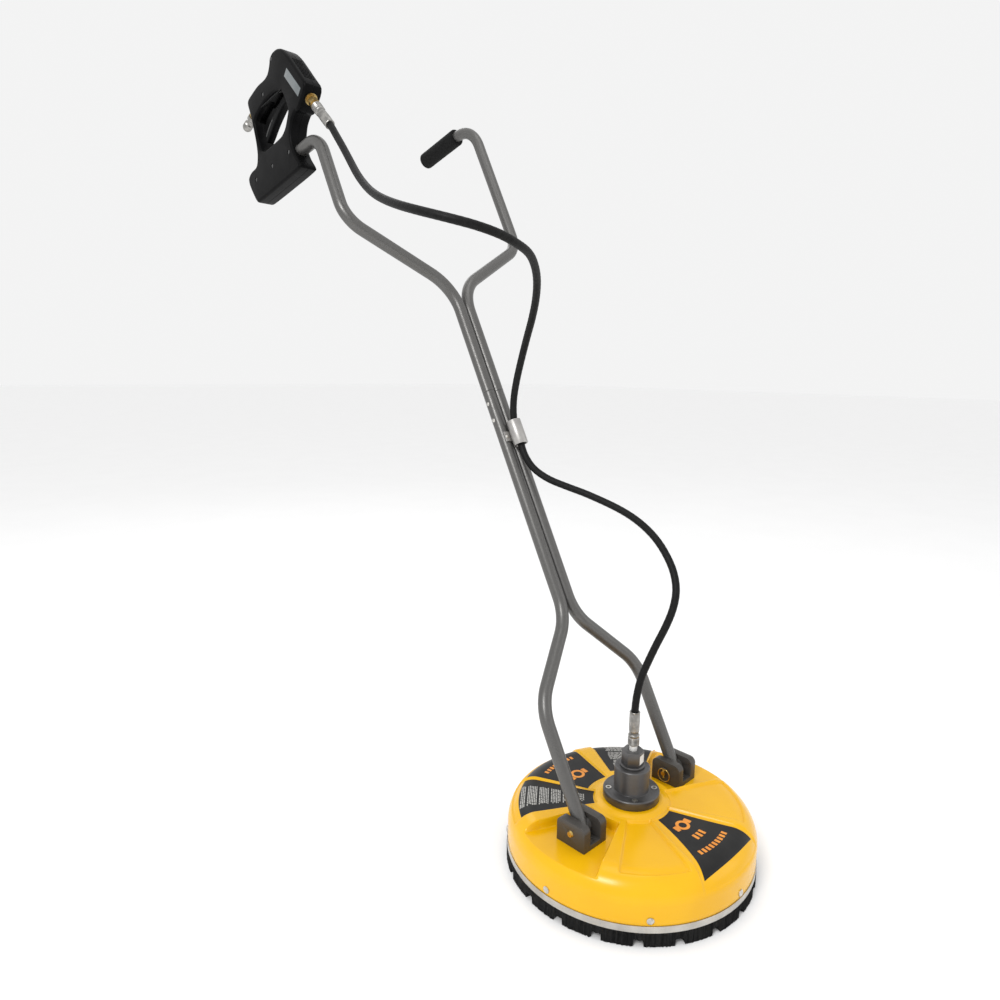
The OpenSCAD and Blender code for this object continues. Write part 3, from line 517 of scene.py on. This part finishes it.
def make_deck_shell():
    n = 720
    deg = np.arange(n) * 360 / n
    radii = np.concatenate([np.linspace(30.5, 50, 5), np.linspace(51, 65, 13),
                            np.linspace(66, 82, 15), np.linspace(84, 156, 26)])
    radii = np.concatenate([radii, SHOULDER_X + SHOULDER_R * np.sin(
        np.radians(np.linspace(1, 90, 44)))])
    rings = [(np.full(n, r), deck_z(r, deg)) for r in radii]
    rings += [(np.full(n, DECK_R), np.full(n, z)) for z in (48, 44, 39, 34.4)]
    rings += [(np.full(n, DECK_R - 0.6), np.full(n, RIM_Z))]
    rings += [(np.full(n, DECK_R - 4.4), np.full(n, RIM_Z))]
    wall = 4.5
    inner = np.concatenate([np.full(2, DECK_R - wall), np.linspace(DECK_R - wall, 84, 40),
                            np.linspace(82, 50, 20), [40, 30.5]])
    for i, r in enumerate(inner):
        if i < 2:
            rings.append((np.full(n, r), np.full(n, (36, 51)[i])))
            continue
        out = np.minimum(r * DECK_R / (DECK_R - wall), DECK_R - 1e-3) if r > 150 else r
        z = np.clip(deck_z(out, deg) - wall, SHOULDER_Z, None)
        rings.append((np.full(n, r), z))
    verts = []
    a = np.radians(deg)
    for r, z in rings:
        verts += list(np.stack([r * np.cos(a), r * np.sin(a), z], axis=1) * MM)
    faces = []
    m = len(rings)
    for i in range(m):
        j = (i + 1) % m
        for k in range(n):
            l = (k + 1) % n
            faces.append((i * n + k, i * n + l, j * n + l, j * n + k))
    o = make("deck_shell_soft", verts, faces, YELLOW, "deck", sharp=50)
    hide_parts("deck_shell")


def patch(name, points_ra, lift, material, thick=0.25):
    """A thin piece that follows the deck under a grid of (radius, degrees) points."""
    grid = np.asarray(points_ra, float)
    rows, cols = grid.shape[:2]
    r, deg = grid[..., 0], grid[..., 1]
    a = np.radians(deg)
    base = deck_z(r, deg)
    verts = []
    for up in (lift + thick, lift - 0.2):
        z = base + up
        verts += list(np.stack([r * np.cos(a), r * np.sin(a), z], axis=-1).reshape(-1, 3) * MM)
    faces = []
    layer = rows * cols
    for i in range(rows - 1):
        for k in range(cols - 1):
            q = [i * cols + k, i * cols + k + 1, (i + 1) * cols + k + 1, (i + 1) * cols + k]
            faces.append(q)
            faces.append([v + layer for v in q[::-1]])
    rim = [(0, k) for k in range(cols)] + [(i, cols - 1) for i in range(1, rows)]
    rim += [(rows - 1, k) for k in range(cols - 2, -1, -1)]
    rim += [(i, 0) for i in range(rows - 2, 0, -1)]
    ids = [i * cols + k for i, k in rim]
    for p, q in zip(ids, ids[1:] + ids[:1]):
        faces.append([p, q, q + layer, p + layer])
    return make(name, verts, faces, material, "deck", sharp=60)


def patches(name, grids, lift, material, thick=0.25):
    """Many thin pieces on the deck as one object, each over a grid of two rows."""
    verts, faces = [], []
    for grid in grids:
        r, deg = grid[..., 0], grid[..., 1]
        a = np.radians(deg)
        z = deck_z(r, deg)
        n = grid.shape[1]
        first = len(verts)
        for up in (lift + thick, lift - 0.2):
            p = np.stack([r * np.cos(a), r * np.sin(a), z + up], axis=-1).reshape(-1, 3) * MM
            verts += list(p)
        for k in range(n - 1):
            for q in ((k, k + 1, n + k + 1, n + k),
                      (2 * n + k, 3 * n + k, 3 * n + k + 1, 2 * n + k + 1),
                      (k, 2 * n + k, 2 * n + k + 1, k + 1),
                      (n + k, n + k + 1, 3 * n + k + 1, 3 * n + k)):
                faces.append([first + v for v in q])
        for q in ((0, n, 3 * n, 2 * n), (n - 1, 3 * n - 1, 4 * n - 1, 2 * n - 1)):
            faces.append([first + v for v in q])
    return make(name, verts, faces, material, "deck", sharp=60)


def broken_lines(r0, r1, pitch, middle, wide, grow, skip):
    """Fine broken lines across a label, in blocks of skip lines with a space between them."""
    grids = []
    for i in range(int((r1 - r0) / pitch)):
        if i % skip == skip - 1:
            continue
        r = r0 + i * pitch
        span = wide + grow * (r - r0)
        at = -span / 2 + rng.uniform(0, 3)
        while at < span / 2 - 3:
            size = min(rng.uniform(3, 11), span / 2 - at)
            grids.append(bar_grid_at(r, middle, at + size / 2, size, 1.5))
            at += size + rng.uniform(0.9, 2.0)
    return grids


def bar_grid_at(r, middle, across, wide, deep):
    """Two rows of points over a short bar, off to one side of a label's middle line."""
    a = math.radians(middle)
    along = np.array((math.cos(a), math.sin(a)))
    other = np.array((-math.sin(a), math.cos(a)))
    v = across + np.linspace(-wide / 2, wide / 2, max(2, int(wide / 3) + 1))
    u = r + np.array((-deep / 2, deep / 2))
    p = u[:, None, None] * along + v[None, :, None] * other
    return np.stack([np.hypot(p[..., 0], p[..., 1]),
                     np.degrees(np.arctan2(p[..., 1], p[..., 0]))], axis=-1)


def sector_grid(r0, r1, deg0, deg1, step=3.0, deg_out=None):
    """A grid over a sector, whose outer edge can span other angles than its inner one."""
    radii = np.linspace(r0, r1, max(2, int((r1 - r0) / step)))
    out0, out1 = deg_out or (deg0, deg1)
    t = np.linspace(0, 1, max(2, int(math.radians(abs(out1 - out0)) * r1 / step)))
    u = (radii - r0) / (r1 - r0)
    lo = deg0 + (out0 - deg0) * u
    hi = deg1 + (out1 - deg1) * u
    deg = lo[:, None] + (hi - lo)[:, None] * t[None, :]
    return np.stack([np.repeat(radii[:, None], len(t), axis=1), deg], axis=-1)


def bar_grid(r, deg, wide, deep, step=3.0):
    """A grid over a straight bar, wide across and deep along its own radius, in mm."""
    a = math.radians(deg)
    along = np.array((math.cos(a), math.sin(a)))
    across = np.array((-math.sin(a), math.cos(a)))
    u = np.linspace(-deep / 2, deep / 2, max(2, int(deep / step) + 1))
    v = np.linspace(-wide / 2, wide / 2, max(2, int(wide / step) + 1))
    p = (r + u)[:, None, None] * along + v[None, :, None] * across
    return np.stack([np.hypot(p[..., 0], p[..., 1]),
                     np.degrees(np.arctan2(p[..., 1], p[..., 0]))], axis=-1)


def ring_grid(r, deg, radius, wide, sides=28):
    """A grid over a small ring on the deck."""
    a = math.radians(deg)
    t = np.linspace(0, math.tau, sides + 1)
    p = []
    for q in (radius - wide / 2, radius + wide / 2):
        x = r * math.cos(a) + q * np.cos(t)
        y = r * math.sin(a) + q * np.sin(t)
        p.append(np.stack([np.hypot(x, y), np.degrees(np.arctan2(y, x))], axis=-1))
    return np.array(p)


def label_grid(r0, r1, deg0, deg1, deg_out):
    """A sector grid whose outer edge is nearly straight."""
    grid = sector_grid(r0, r1, deg0, deg1, deg_out=deg_out)
    middle = (deg_out[0] + deg_out[1]) / 2
    half = math.radians(deg_out[1] - deg_out[0]) / 2
    flat = np.cos(half) / np.cos(np.radians(np.clip(grid[..., 1] - middle, -30, 30)))
    u = (grid[..., 0] - r0) / (r1 - r0)
    grid[..., 0] = r0 + (grid[..., 0] - r0) * (1 - 0.8 * u * (1 - np.minimum(flat, 1)))
    return grid


def make_labels():
    patch("label_front", label_grid(65, 193, -102, -72, (-110.5, -69)), 0, LABEL)
    patch("label_front_ring", ring_grid(98, -88, 9, 5), 0.2, ORANGE)
    for i, (r, across, deep) in enumerate([(98, 15, 12), (98, -15, 12)]):
        patch(f"label_front_block_{i}", bar_grid(r, -88 + math.degrees(across / r), 7, deep),
              0.2, ORANGE)
    for i, across in enumerate((-9, 0, 9)):
        patch(f"label_front_bar_{i}", bar_grid(128, -89 + math.degrees(across / 128), 5, 12), 0.2,
              ORANGE)
    for i in range(9):
        patch(f"label_front_tick_{i}", bar_grid(156, -90 + (i - 4) * 3.1, 5, 9), 0.2, ORANGE)
    patch("label_rear", sector_grid(75, 190, 72, 112), 0, LABEL)
    patch("label_rear_ring", ring_grid(112, 92, 10, 5), 0.2, ORANGE)
    for i, across in enumerate((-17, 17)):
        patch(f"label_rear_block_{i}", bar_grid(112, 92 + math.degrees(across / 112), 7, 13), 0.2,
              ORANGE)
    for i in range(9):
        patch(f"label_rear_tick_{i}", bar_grid(158, 92 + (i - 4) * 3.1, 5, 8), 0.2, ORANGE)
    patch("label_left", sector_grid(62, 186, 115, 148), 0, LABEL)
    patches("label_left_lines", broken_lines(78, 186, 2.8, 131.5, 22, 0.4, 7), 0.2, PALE)
    patch("label_right", sector_grid(90, 198, 24, 60), 0, LABEL)
    patches("label_right_lines", broken_lines(98, 190, 3.0, 42, 36, 0.46, 10), 0.2, PALE)


def make_brush():
    """The bristle ring: a skin of fine upright ridges with an uneven, notched foot."""
    notches, ridges = 21, 840
    n = ridges * 3
    deg = np.arange(n) * 360 / n
    phase = (deg - 15) % (360 / notches)
    off = np.minimum(phase, 360 / notches - phase) * math.pi / 180 * 200
    notch = off < 7.2
    ridge = np.repeat(rng.uniform(0, 1, ridges), 3)
    bump_out = np.tile([0.0, 0.7, 0.35], ridges) * (0.5 + ridge)
    foot = np.where(notch, 10.2, 0.0) + np.repeat(rng.uniform(0, 1.3, ridges), 3)
    lean_out = np.repeat(rng.uniform(-0.5, 0.4, ridges), 3)
    rows = np.linspace(0, 1, 7)
    rings = []
    for u in rows:
        z = 22.7 + (foot - 22.7) * u
        rings.append((203.6 + bump_out + lean_out * u, z))
    for u in rows[::-1]:
        z = 22.7 + (foot - 22.7) * u
        rings.append((194.6 - bump_out * 0.5 + lean_out * u, z))
    a = np.radians(deg)
    verts = []
    for r, z in rings:
        verts += list(np.stack([r * np.cos(a), r * np.sin(a), z], axis=1) * MM)
    faces = []
    m = len(rings)
    for i in range(m):
        j = (i + 1) % m
        for k in range(n):
            l = (k + 1) % n
            faces.append((i * n + k, i * n + l, j * n + l, j * n + k))
    o = make("brush_bristles", verts, faces, BRISTLE, "deck", sharp=80)
    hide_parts("brush_skirt")


make_deck_shell()
make_labels()
make_brush()


# ---- Gun ----

HALF_W = 17.5
TRIGGER_HALF_W = 7
LATCH_HALF_W = 4
SLOT_HALF_W = 9.5
LOCK_SLOT_HALF_W = 6
GROOVE_HALF_W = 4.5
RIB_COUNT = 12
RIB_HALF_W = 10
GUN_OUTLINE = [
    (-33, 1297), (-22, 1330), (-12, 1362), (-4, 1386), (6, 1406), (18, 1417), (33, 1423),
    (46, 1422), (54, 1413), (66, 1406), (80, 1407), (106, 1417), (132, 1421), (150, 1423),
    (157, 1417), (158, 1395), (162, 1366), (167, 1339), (174, 1318), (187, 1303),
    (212, 1310), (228, 1307), (232, 1294), (224, 1250), (214, 1244), (58, 1199),
    (52, 1203), (60, 1230), (60, 1252), (54, 1268), (40, 1282), (22, 1288), (12, 1281),
]
FINGER_GAP = [
    (38, 1306), (50, 1297), (64, 1288), (80, 1285), (115, 1295), (146, 1305), (158, 1316),
    (157, 1336), (155, 1356), (150, 1378), (100, 1376), (64, 1364), (46, 1352), (39, 1338),
]
TRIGGER_SLOT = [
    (16, 1312), (16, 1342), (34, 1362), (60, 1376), (110, 1381), (110, 1360), (45, 1345),
    (45, 1302), (38, 1300), (26, 1308),
]
LOCK_SLOT = [(100, 1360), (100, 1384), (150, 1384), (150, 1360)]
TRIGGER_SHAPE = [
    (20, 1326), (22, 1336), (32, 1345), (60, 1352), (104, 1347), (145, 1335), (148, 1328),
    (144, 1324), (104, 1334), (62, 1338), (44, 1332), (36, 1322), (27, 1317), (21, 1320),
]
LOCK_GROOVE = [(96, 1343), (96, 1360), (158, 1360), (158, 1328)]
LOCK_SHAPE = [(116, 1349), (122, 1350), (147, 1343), (146, 1336), (120, 1341), (115, 1344)]
GUN_SCREWS = [(74.1, 1245.7), (136.3, 1264.7), (201, 1284), (98, 1389), (42, 1416)]
GUN_PLATE = [(5, 1363), (19, 1358), (-1, 1298), (-15, 1303)]


def prism(points, x0, x1):
    """A plain cutter across X in the handle's frame."""
    n = len(points)
    verts = [on_handle(x, *p) for x in (x0, x1) for p in points]
    faces = [tuple(range(n)), tuple(range(2 * n - 1, n - 1, -1))]
    faces += [(k, (k + 1) % n, n + (k + 1) % n, n + k) for k in range(n)]
    return make("cutter", verts, faces, GUN)


def rod(t, s, r, x0, x1, n=32):
    points = [(t + r * math.cos(math.tau * k / n), s + r * math.sin(math.tau * k / n))
              for k in range(n)]
    return prism(points, x0, x1)


def make_gun():
    body = slab("gun_body", GUN_OUTLINE, -UPPER_X - HALF_W, -UPPER_X + HALF_W, 5, GUN,
                hole=FINGER_GAP, steps=5, groove=0.5)
    tools = [prism(TRIGGER_SLOT, -UPPER_X - SLOT_HALF_W, -UPPER_X + SLOT_HALF_W),
             prism(LOCK_SLOT, -UPPER_X - LOCK_SLOT_HALF_W, -UPPER_X + LOCK_SLOT_HALF_W)]
    tools += [rod(t, s, 3.9, -UPPER_X - HALF_W - 2, -UPPER_X - HALF_W + 3) for t, s in GUN_SCREWS]
    cut(body, tools)
    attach(body, "handle")
    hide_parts("gun_shell_left", "gun_shell_right")
    plate = slab("gun_blank_plate", GUN_PLATE, -UPPER_X - HALF_W - 0.5, -UPPER_X - HALF_W + 1, 0.3,
                 PLATE, steps=2, curve=0)
    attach(plate, "handle")
    ridge = slab("gun_ridge", [(38, 1349), (41, 1347), (114, 1372), (113, 1375)],
                 -UPPER_X - HALF_W - 0.5, -UPPER_X - HALF_W + 1, 0.4, GUN, steps=2)
    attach(ridge, "handle")
    foot, head = Vector((-25, 1321)), Vector((-8, 1374))
    way = (head - foot).normalized()
    out = Vector((-way.y, way.x))
    for k in range(RIB_COUNT):
        middle = foot.lerp(head, k / (RIB_COUNT - 1))
        corners = [middle + way * u + out * v for u, v in
                   ((-1.1, -1), (1.1, -1), (0.7, 0.7), (-0.7, 0.7))]
        rib = slab(f"gun_rib_{k}", [tuple(q) for q in corners], -UPPER_X - RIB_HALF_W,
                   -UPPER_X + RIB_HALF_W, 0.3, GUN, steps=2, curve=0)
        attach(rib, "handle")


def make_trigger():
    o = slab("trigger_soft", TRIGGER_SHAPE, -UPPER_X - TRIGGER_HALF_W,
             -UPPER_X + TRIGGER_HALF_W, 2.2, GUN, steps=4)
    cut(o, [prism(LOCK_GROOVE, -UPPER_X - GROOVE_HALF_W, -UPPER_X + GROOVE_HALF_W)])
    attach(o, "trigger")
    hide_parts("trigger")
    latch = slab("trigger_lock_soft", LOCK_SHAPE, -UPPER_X - LATCH_HALF_W,
                 -UPPER_X + LATCH_HALF_W, 1, LOCK, steps=3)
    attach(latch, "trigger_lock")
    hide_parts("trigger_lock")


make_gun()
make_trigger()


# ---- Handle ----

GRIP_APEX = Vector((UPPER_X, 0, 1363))
GRIP_TILT = math.radians(14.5)
GRIP_LEN = 175
GRIP_START = 53
STUB_LEN = 190
STUB_TILT = math.radians(17)
TUBE_R = 11.1
TUBE_X = TUBE_R + 0.05
FORK_BEND_R = 85
UPPER_BEND_R = 58
GUN_BEND_R = 42
GRIP_BEND_R = 66
LOWER_FORK = [(126, 0, 0), (126, 0, 190), (TUBE_X, 0, 310), (TUBE_X, 0, 733)]
UPPER_FORK = [(TUBE_X, 0, 733), (TUBE_X, 0, 946), (UPPER_X, 0, 1059)]


def bent_path(points, radii, step=3):
    """Points of a run of straights and round bends, in mm."""
    p = [Vector(q) for q in points]
    path = [p[0]]
    for i in range(1, len(p) - 1):
        a, b = (p[i] - p[i - 1]).normalized(), (p[i + 1] - p[i]).normalized()
        turn = a.angle(b)
        cut_back = radii[i] * math.tan(turn / 2)
        middle = p[i] - a * cut_back + (b - a * a.dot(b)).normalized() * radii[i]
        out = p[i] - a * cut_back - middle
        count = max(4, int(radii[i] * turn / step))
        for k in range(count + 1):
            w = turn * k / count
            path.append(middle + out * math.cos(w) + a * radii[i] * math.sin(w))
    return path + [p[-1]]


def make_tube(node, points, radii, mirror):
    """A bent handle tube with lightly broken end edges."""
    flip = Vector((-1 if mirror else 1, 1, 1))
    path = [q * flip for q in bent_path(points, radii)]
    first, last = (path[1] - path[0]).normalized(), (path[-1] - path[-2]).normalized()
    path = [path[0], path[0] + first * 0.6] + path[1:-1] + [path[-1] - last * 0.6, path[-1]]
    sides = 48
    side = Vector((0, 1, 0)) if abs(first.y) < 0.9 else Vector((1, 0, 0))
    verts, faces = [], []
    for i, q in enumerate(path):
        ahead = (path[min(i + 1, len(path) - 1)] - path[max(i - 1, 0)]).normalized()
        side = (side - ahead * side.dot(ahead)).normalized()
        other = ahead.cross(side)
        r = TUBE_R - (0.6 if i in (0, len(path) - 1) else 0)
        for k in range(sides):
            a = math.tau * k / sides
            verts.append(on_handle(*(q + side * r * math.cos(a) + other * r * math.sin(a))))
    for i in range(len(path) - 1):
        for k in range(sides):
            l = (k + 1) % sides
            faces.append((i * sides + k, i * sides + l, (i + 1) * sides + l, (i + 1) * sides + k))
    faces.append(tuple(range(sides))[::-1])
    faces.append(tuple((len(path) - 1) * sides + k for k in range(sides)))
    o = make(node + "_soft", verts, faces, TUBE, "handle", sharp=40)
    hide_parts(node)


def make_tubes():
    grip_way = Vector((8 / GRIP_LEN, math.cos(GRIP_TILT), math.sin(GRIP_TILT))).normalized()
    gun_apex = Vector((UPPER_X, 0, 1223))
    gun_end = gun_apex + Vector((0, math.cos(STUB_TILT), math.sin(STUB_TILT))) * STUB_LEN
    right = UPPER_FORK + [GRIP_APEX, GRIP_APEX + grip_way * GRIP_LEN]
    left = UPPER_FORK + [gun_apex, gun_end]
    for side in ("left", "right"):
        make_tube("lower_tube_" + side, LOWER_FORK, [0, FORK_BEND_R, FORK_BEND_R, 0],
                  side == "left")
    make_tube("upper_tube_left", left, [0, FORK_BEND_R, UPPER_BEND_R, GUN_BEND_R, 0], True)
    make_tube("upper_tube_right", right, [0, FORK_BEND_R, UPPER_BEND_R, GRIP_BEND_R, 0], False)


make_tubes()


def make_grip():
    way = Vector((8 / GRIP_LEN, math.cos(GRIP_TILT), math.sin(GRIP_TILT))).normalized()
    start = GRIP_APEX + GRIP_START * way
    place = HANDLE @ placed_z(start * MM, way)
    length = GRIP_LEN - GRIP_START
    r = 17.3
    profile = [(11.2, 0)] + arc(r - 3, 3, 3, -90, 0, 5)
    profile += [(r, z) for z in np.linspace(6, length - 6, 40)]
    profile += arc(r - 3, length - 3, 3, 0, 90, 5) + [(11.2, length)]
    n = 72
    bumps = rng.uniform(-0.12, 0.12, (len(profile), n))
    verts, faces = lathe(profile, n, place, lambda i, k, q: q if q < 12 else q + bumps[i, k])
    o = make("foam_grip_soft", verts, faces, FOAM, "handle", sharp=60)
    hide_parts("foam_grip")


make_grip()


# ---- Hose fittings ----

def nut_profile():
    return ([(3, 0), (8.2, 0), (9.2, 1)] + [(9.2, z) for z in np.linspace(1.6, 12, 20)]
            + [(9.2, 12.6), (8.5, 13.4), (8.5, 14.6), (9.1, 15.2), (9.1, 18), (8.2, 19), (7.2, 20),
               (3, 20)])


def make_nut(name, place, body):
    """A swivel nut with a knurled band."""
    n = 96
    profile = nut_profile()

    def knurl(i, k, r):
        if not 3 <= i <= 22:
            return r
        return r + 0.28 * math.cos(math.tau * (k + 2 * (i % 2)) / 4)

    o = make(name + "_soft", *lathe(profile, n, place, knurl), NICKEL, body, sharp=50)
    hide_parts(name)


def make_ferrule(name, place, body):
    """A ferrule with fine upright crimps, above a narrow waist."""
    h0, h1 = 23, 58
    profile = [(3, 20), (7, 20), (7.6, 20.6), (7.6, 21.4), (6.6, 22), (6.6, 22.6), (7.8, h0)]
    for z in np.linspace(h0 + 1, h1 - 2, 48):
        swell = math.sin(math.pi * (z - h0) / (h1 - h0))
        profile.append((8.2 + 0.5 * swell, z))
    profile += [(8.6, h1 - 1), (8, h1), (6.4, h1), (6.4, h1 - 3), (3, h1 - 3)]
    n = 64

    def crimp(i, k, r):
        return r - (0.22 if 7 <= i <= 54 and (k + i // 8) % 4 < 2 else 0)

    o = make(name + "_soft", *lathe(profile, n, place, crimp), NICKEL, body, sharp=40)
    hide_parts(name)


BARREL_TILT = math.radians(20)
OUTLET = on_handle(-UPPER_X, -12, 1288)
BARREL_DOWN = (HANDLE.to_3x3() @ Vector((0, -math.sin(BARREL_TILT), -math.cos(BARREL_TILT))))
lower_end = Matrix.Translation((0, 0, 199 * MM))
upper_end = placed_z(OUTLET + BARREL_DOWN * 21 * MM, BARREL_DOWN)
make_nut("hose_nut_lower", lower_end, "deck")
make_ferrule("hose_ferrule_lower", lower_end, "deck")
make_nut("hose_nut_upper", upper_end, "handle")
make_ferrule("hose_ferrule_upper", upper_end, "handle")


# ---- Finish of the CAD pieces ----

FINISH = {
    "deck_yellow": YELLOW, "band_steel": BAND, "brush_black": BRISTLE, "holder_black": HOLDER,
    "screw_zinc": ZINC, "clevis_paint": CLEVIS, "swivel_dark": SWIVEL, "bearing_steel": STEEL,
    "seal_rubber": SEAL, "fitting_zinc": NICKEL, "rotor_steel": STEEL, "nozzle_brass": BRASS,
    "tube_paint": TUBE, "sleeve_metal": SLEEVE, "foam_black": FOAM, "plug_black": PLUG,
    "gun_black": GUN, "trigger_black": GUN, "lock_grey": LOCK, "fitting_brass": BRASS,
    "hose_black": HOSE,
}
for node, o in frame["nodes"].items():
    o.data.materials.clear()
    o.data.materials.append(FINISH[slot_of[node]])
for side in ("left", "right"):
    frame["nodes"]["linch_ring_" + side].data.materials[0] = RING_BRASS
    frame["nodes"]["clevis_pin_" + side].data.materials[0] = RING_BRASS
    soften("clevis_" + side, 1.4, CLEVIS)
frame["nodes"]["hose_stem_lower"].data.materials[0] = NIPPLE
frame["nodes"]["gun_screws"].data.materials[0] = LOCK
soften("swivel_housing", 0.7, SWIVEL)
soften("swivel_collar", 0.6, SWIVEL)
soften("inlet_adapter", 1.0, SWIVEL)
soften("hose_guide", 0.6, SLEEVE)


def make_sticker():
    """A blank sticker on one flat of the inlet's hexagon."""
    turn = Matrix.Rotation(math.radians(-80), 4, "Z")
    corners = [(16.05, y, z) for y, z in ((-7, 170), (7, 170), (7, 185), (-7, 185))]
    verts = [turn @ Vector((x + d, y, z)) * MM for d in (0, 0.25) for x, y, z in corners]
    faces = [(0, 1, 2, 3), (7, 6, 5, 4)] + [(k, (k + 1) % 4, 4 + (k + 1) % 4, 4 + k)
                                           for k in range(4)]
    make("adapter_sticker", verts, faces, STICKER, "deck")


make_sticker()


# ---- Floor and light ----

def make_stage():
    size = 30
    data = bpy.data.meshes.new("floor")
    data.from_pydata([(-size, -size, 0), (size, -size, 0), (size, size, 0), (-size, size, 0)], [],
                     [(0, 1, 2, 3)])
    floor = bpy.data.objects.new("floor", data)
    bpy.context.scene.collection.objects.link(floor)
    data.materials.append(surface("floor_pale", (0.97, 0.97, 0.97), (0.98, 0.98, 0.98),
                                  (0.75, 0.85), grain=30, tone=4, height=0.00001, specular=0.05))
    world = bpy.data.worlds.new("studio")
    world.use_nodes = True
    world.node_tree.nodes["Background"].inputs["Color"].default_value = (1, 1, 1, 1)
    world.node_tree.nodes["Background"].inputs["Strength"].default_value = 0.9
    bpy.context.scene.world = world
    for name, at, look, width, power in [
        ("key", (-2.4, -0.6, 2.4), (0, 0.2, 0.6), 0.9, 42),
        ("fill", (1.8, -2.4, 1.6), (0, 0.2, 0.5), 1.6, 7),
        ("rim", (0.8, 2.6, 2.4), (0, 0.2, 0.7), 1.2, 6),
        ("top", (0, 0, 3.2), (0, 0.1, 0), 1.4, 8),
    ]:
        light = bpy.data.lights.new(name, "AREA")
        light.shape = "SQUARE"
        light.size = width
        light.energy = power
        o = bpy.data.objects.new(name, light)
        away = Vector(at) - Vector(look)
        o.matrix_world = Matrix.Translation(at) @ away.to_track_quat("Z", "Y").to_matrix().to_4x4()
        bpy.context.scene.collection.objects.link(o)


make_stage()

view = bpy.context.scene.view_settings
view.view_transform = "Standard"
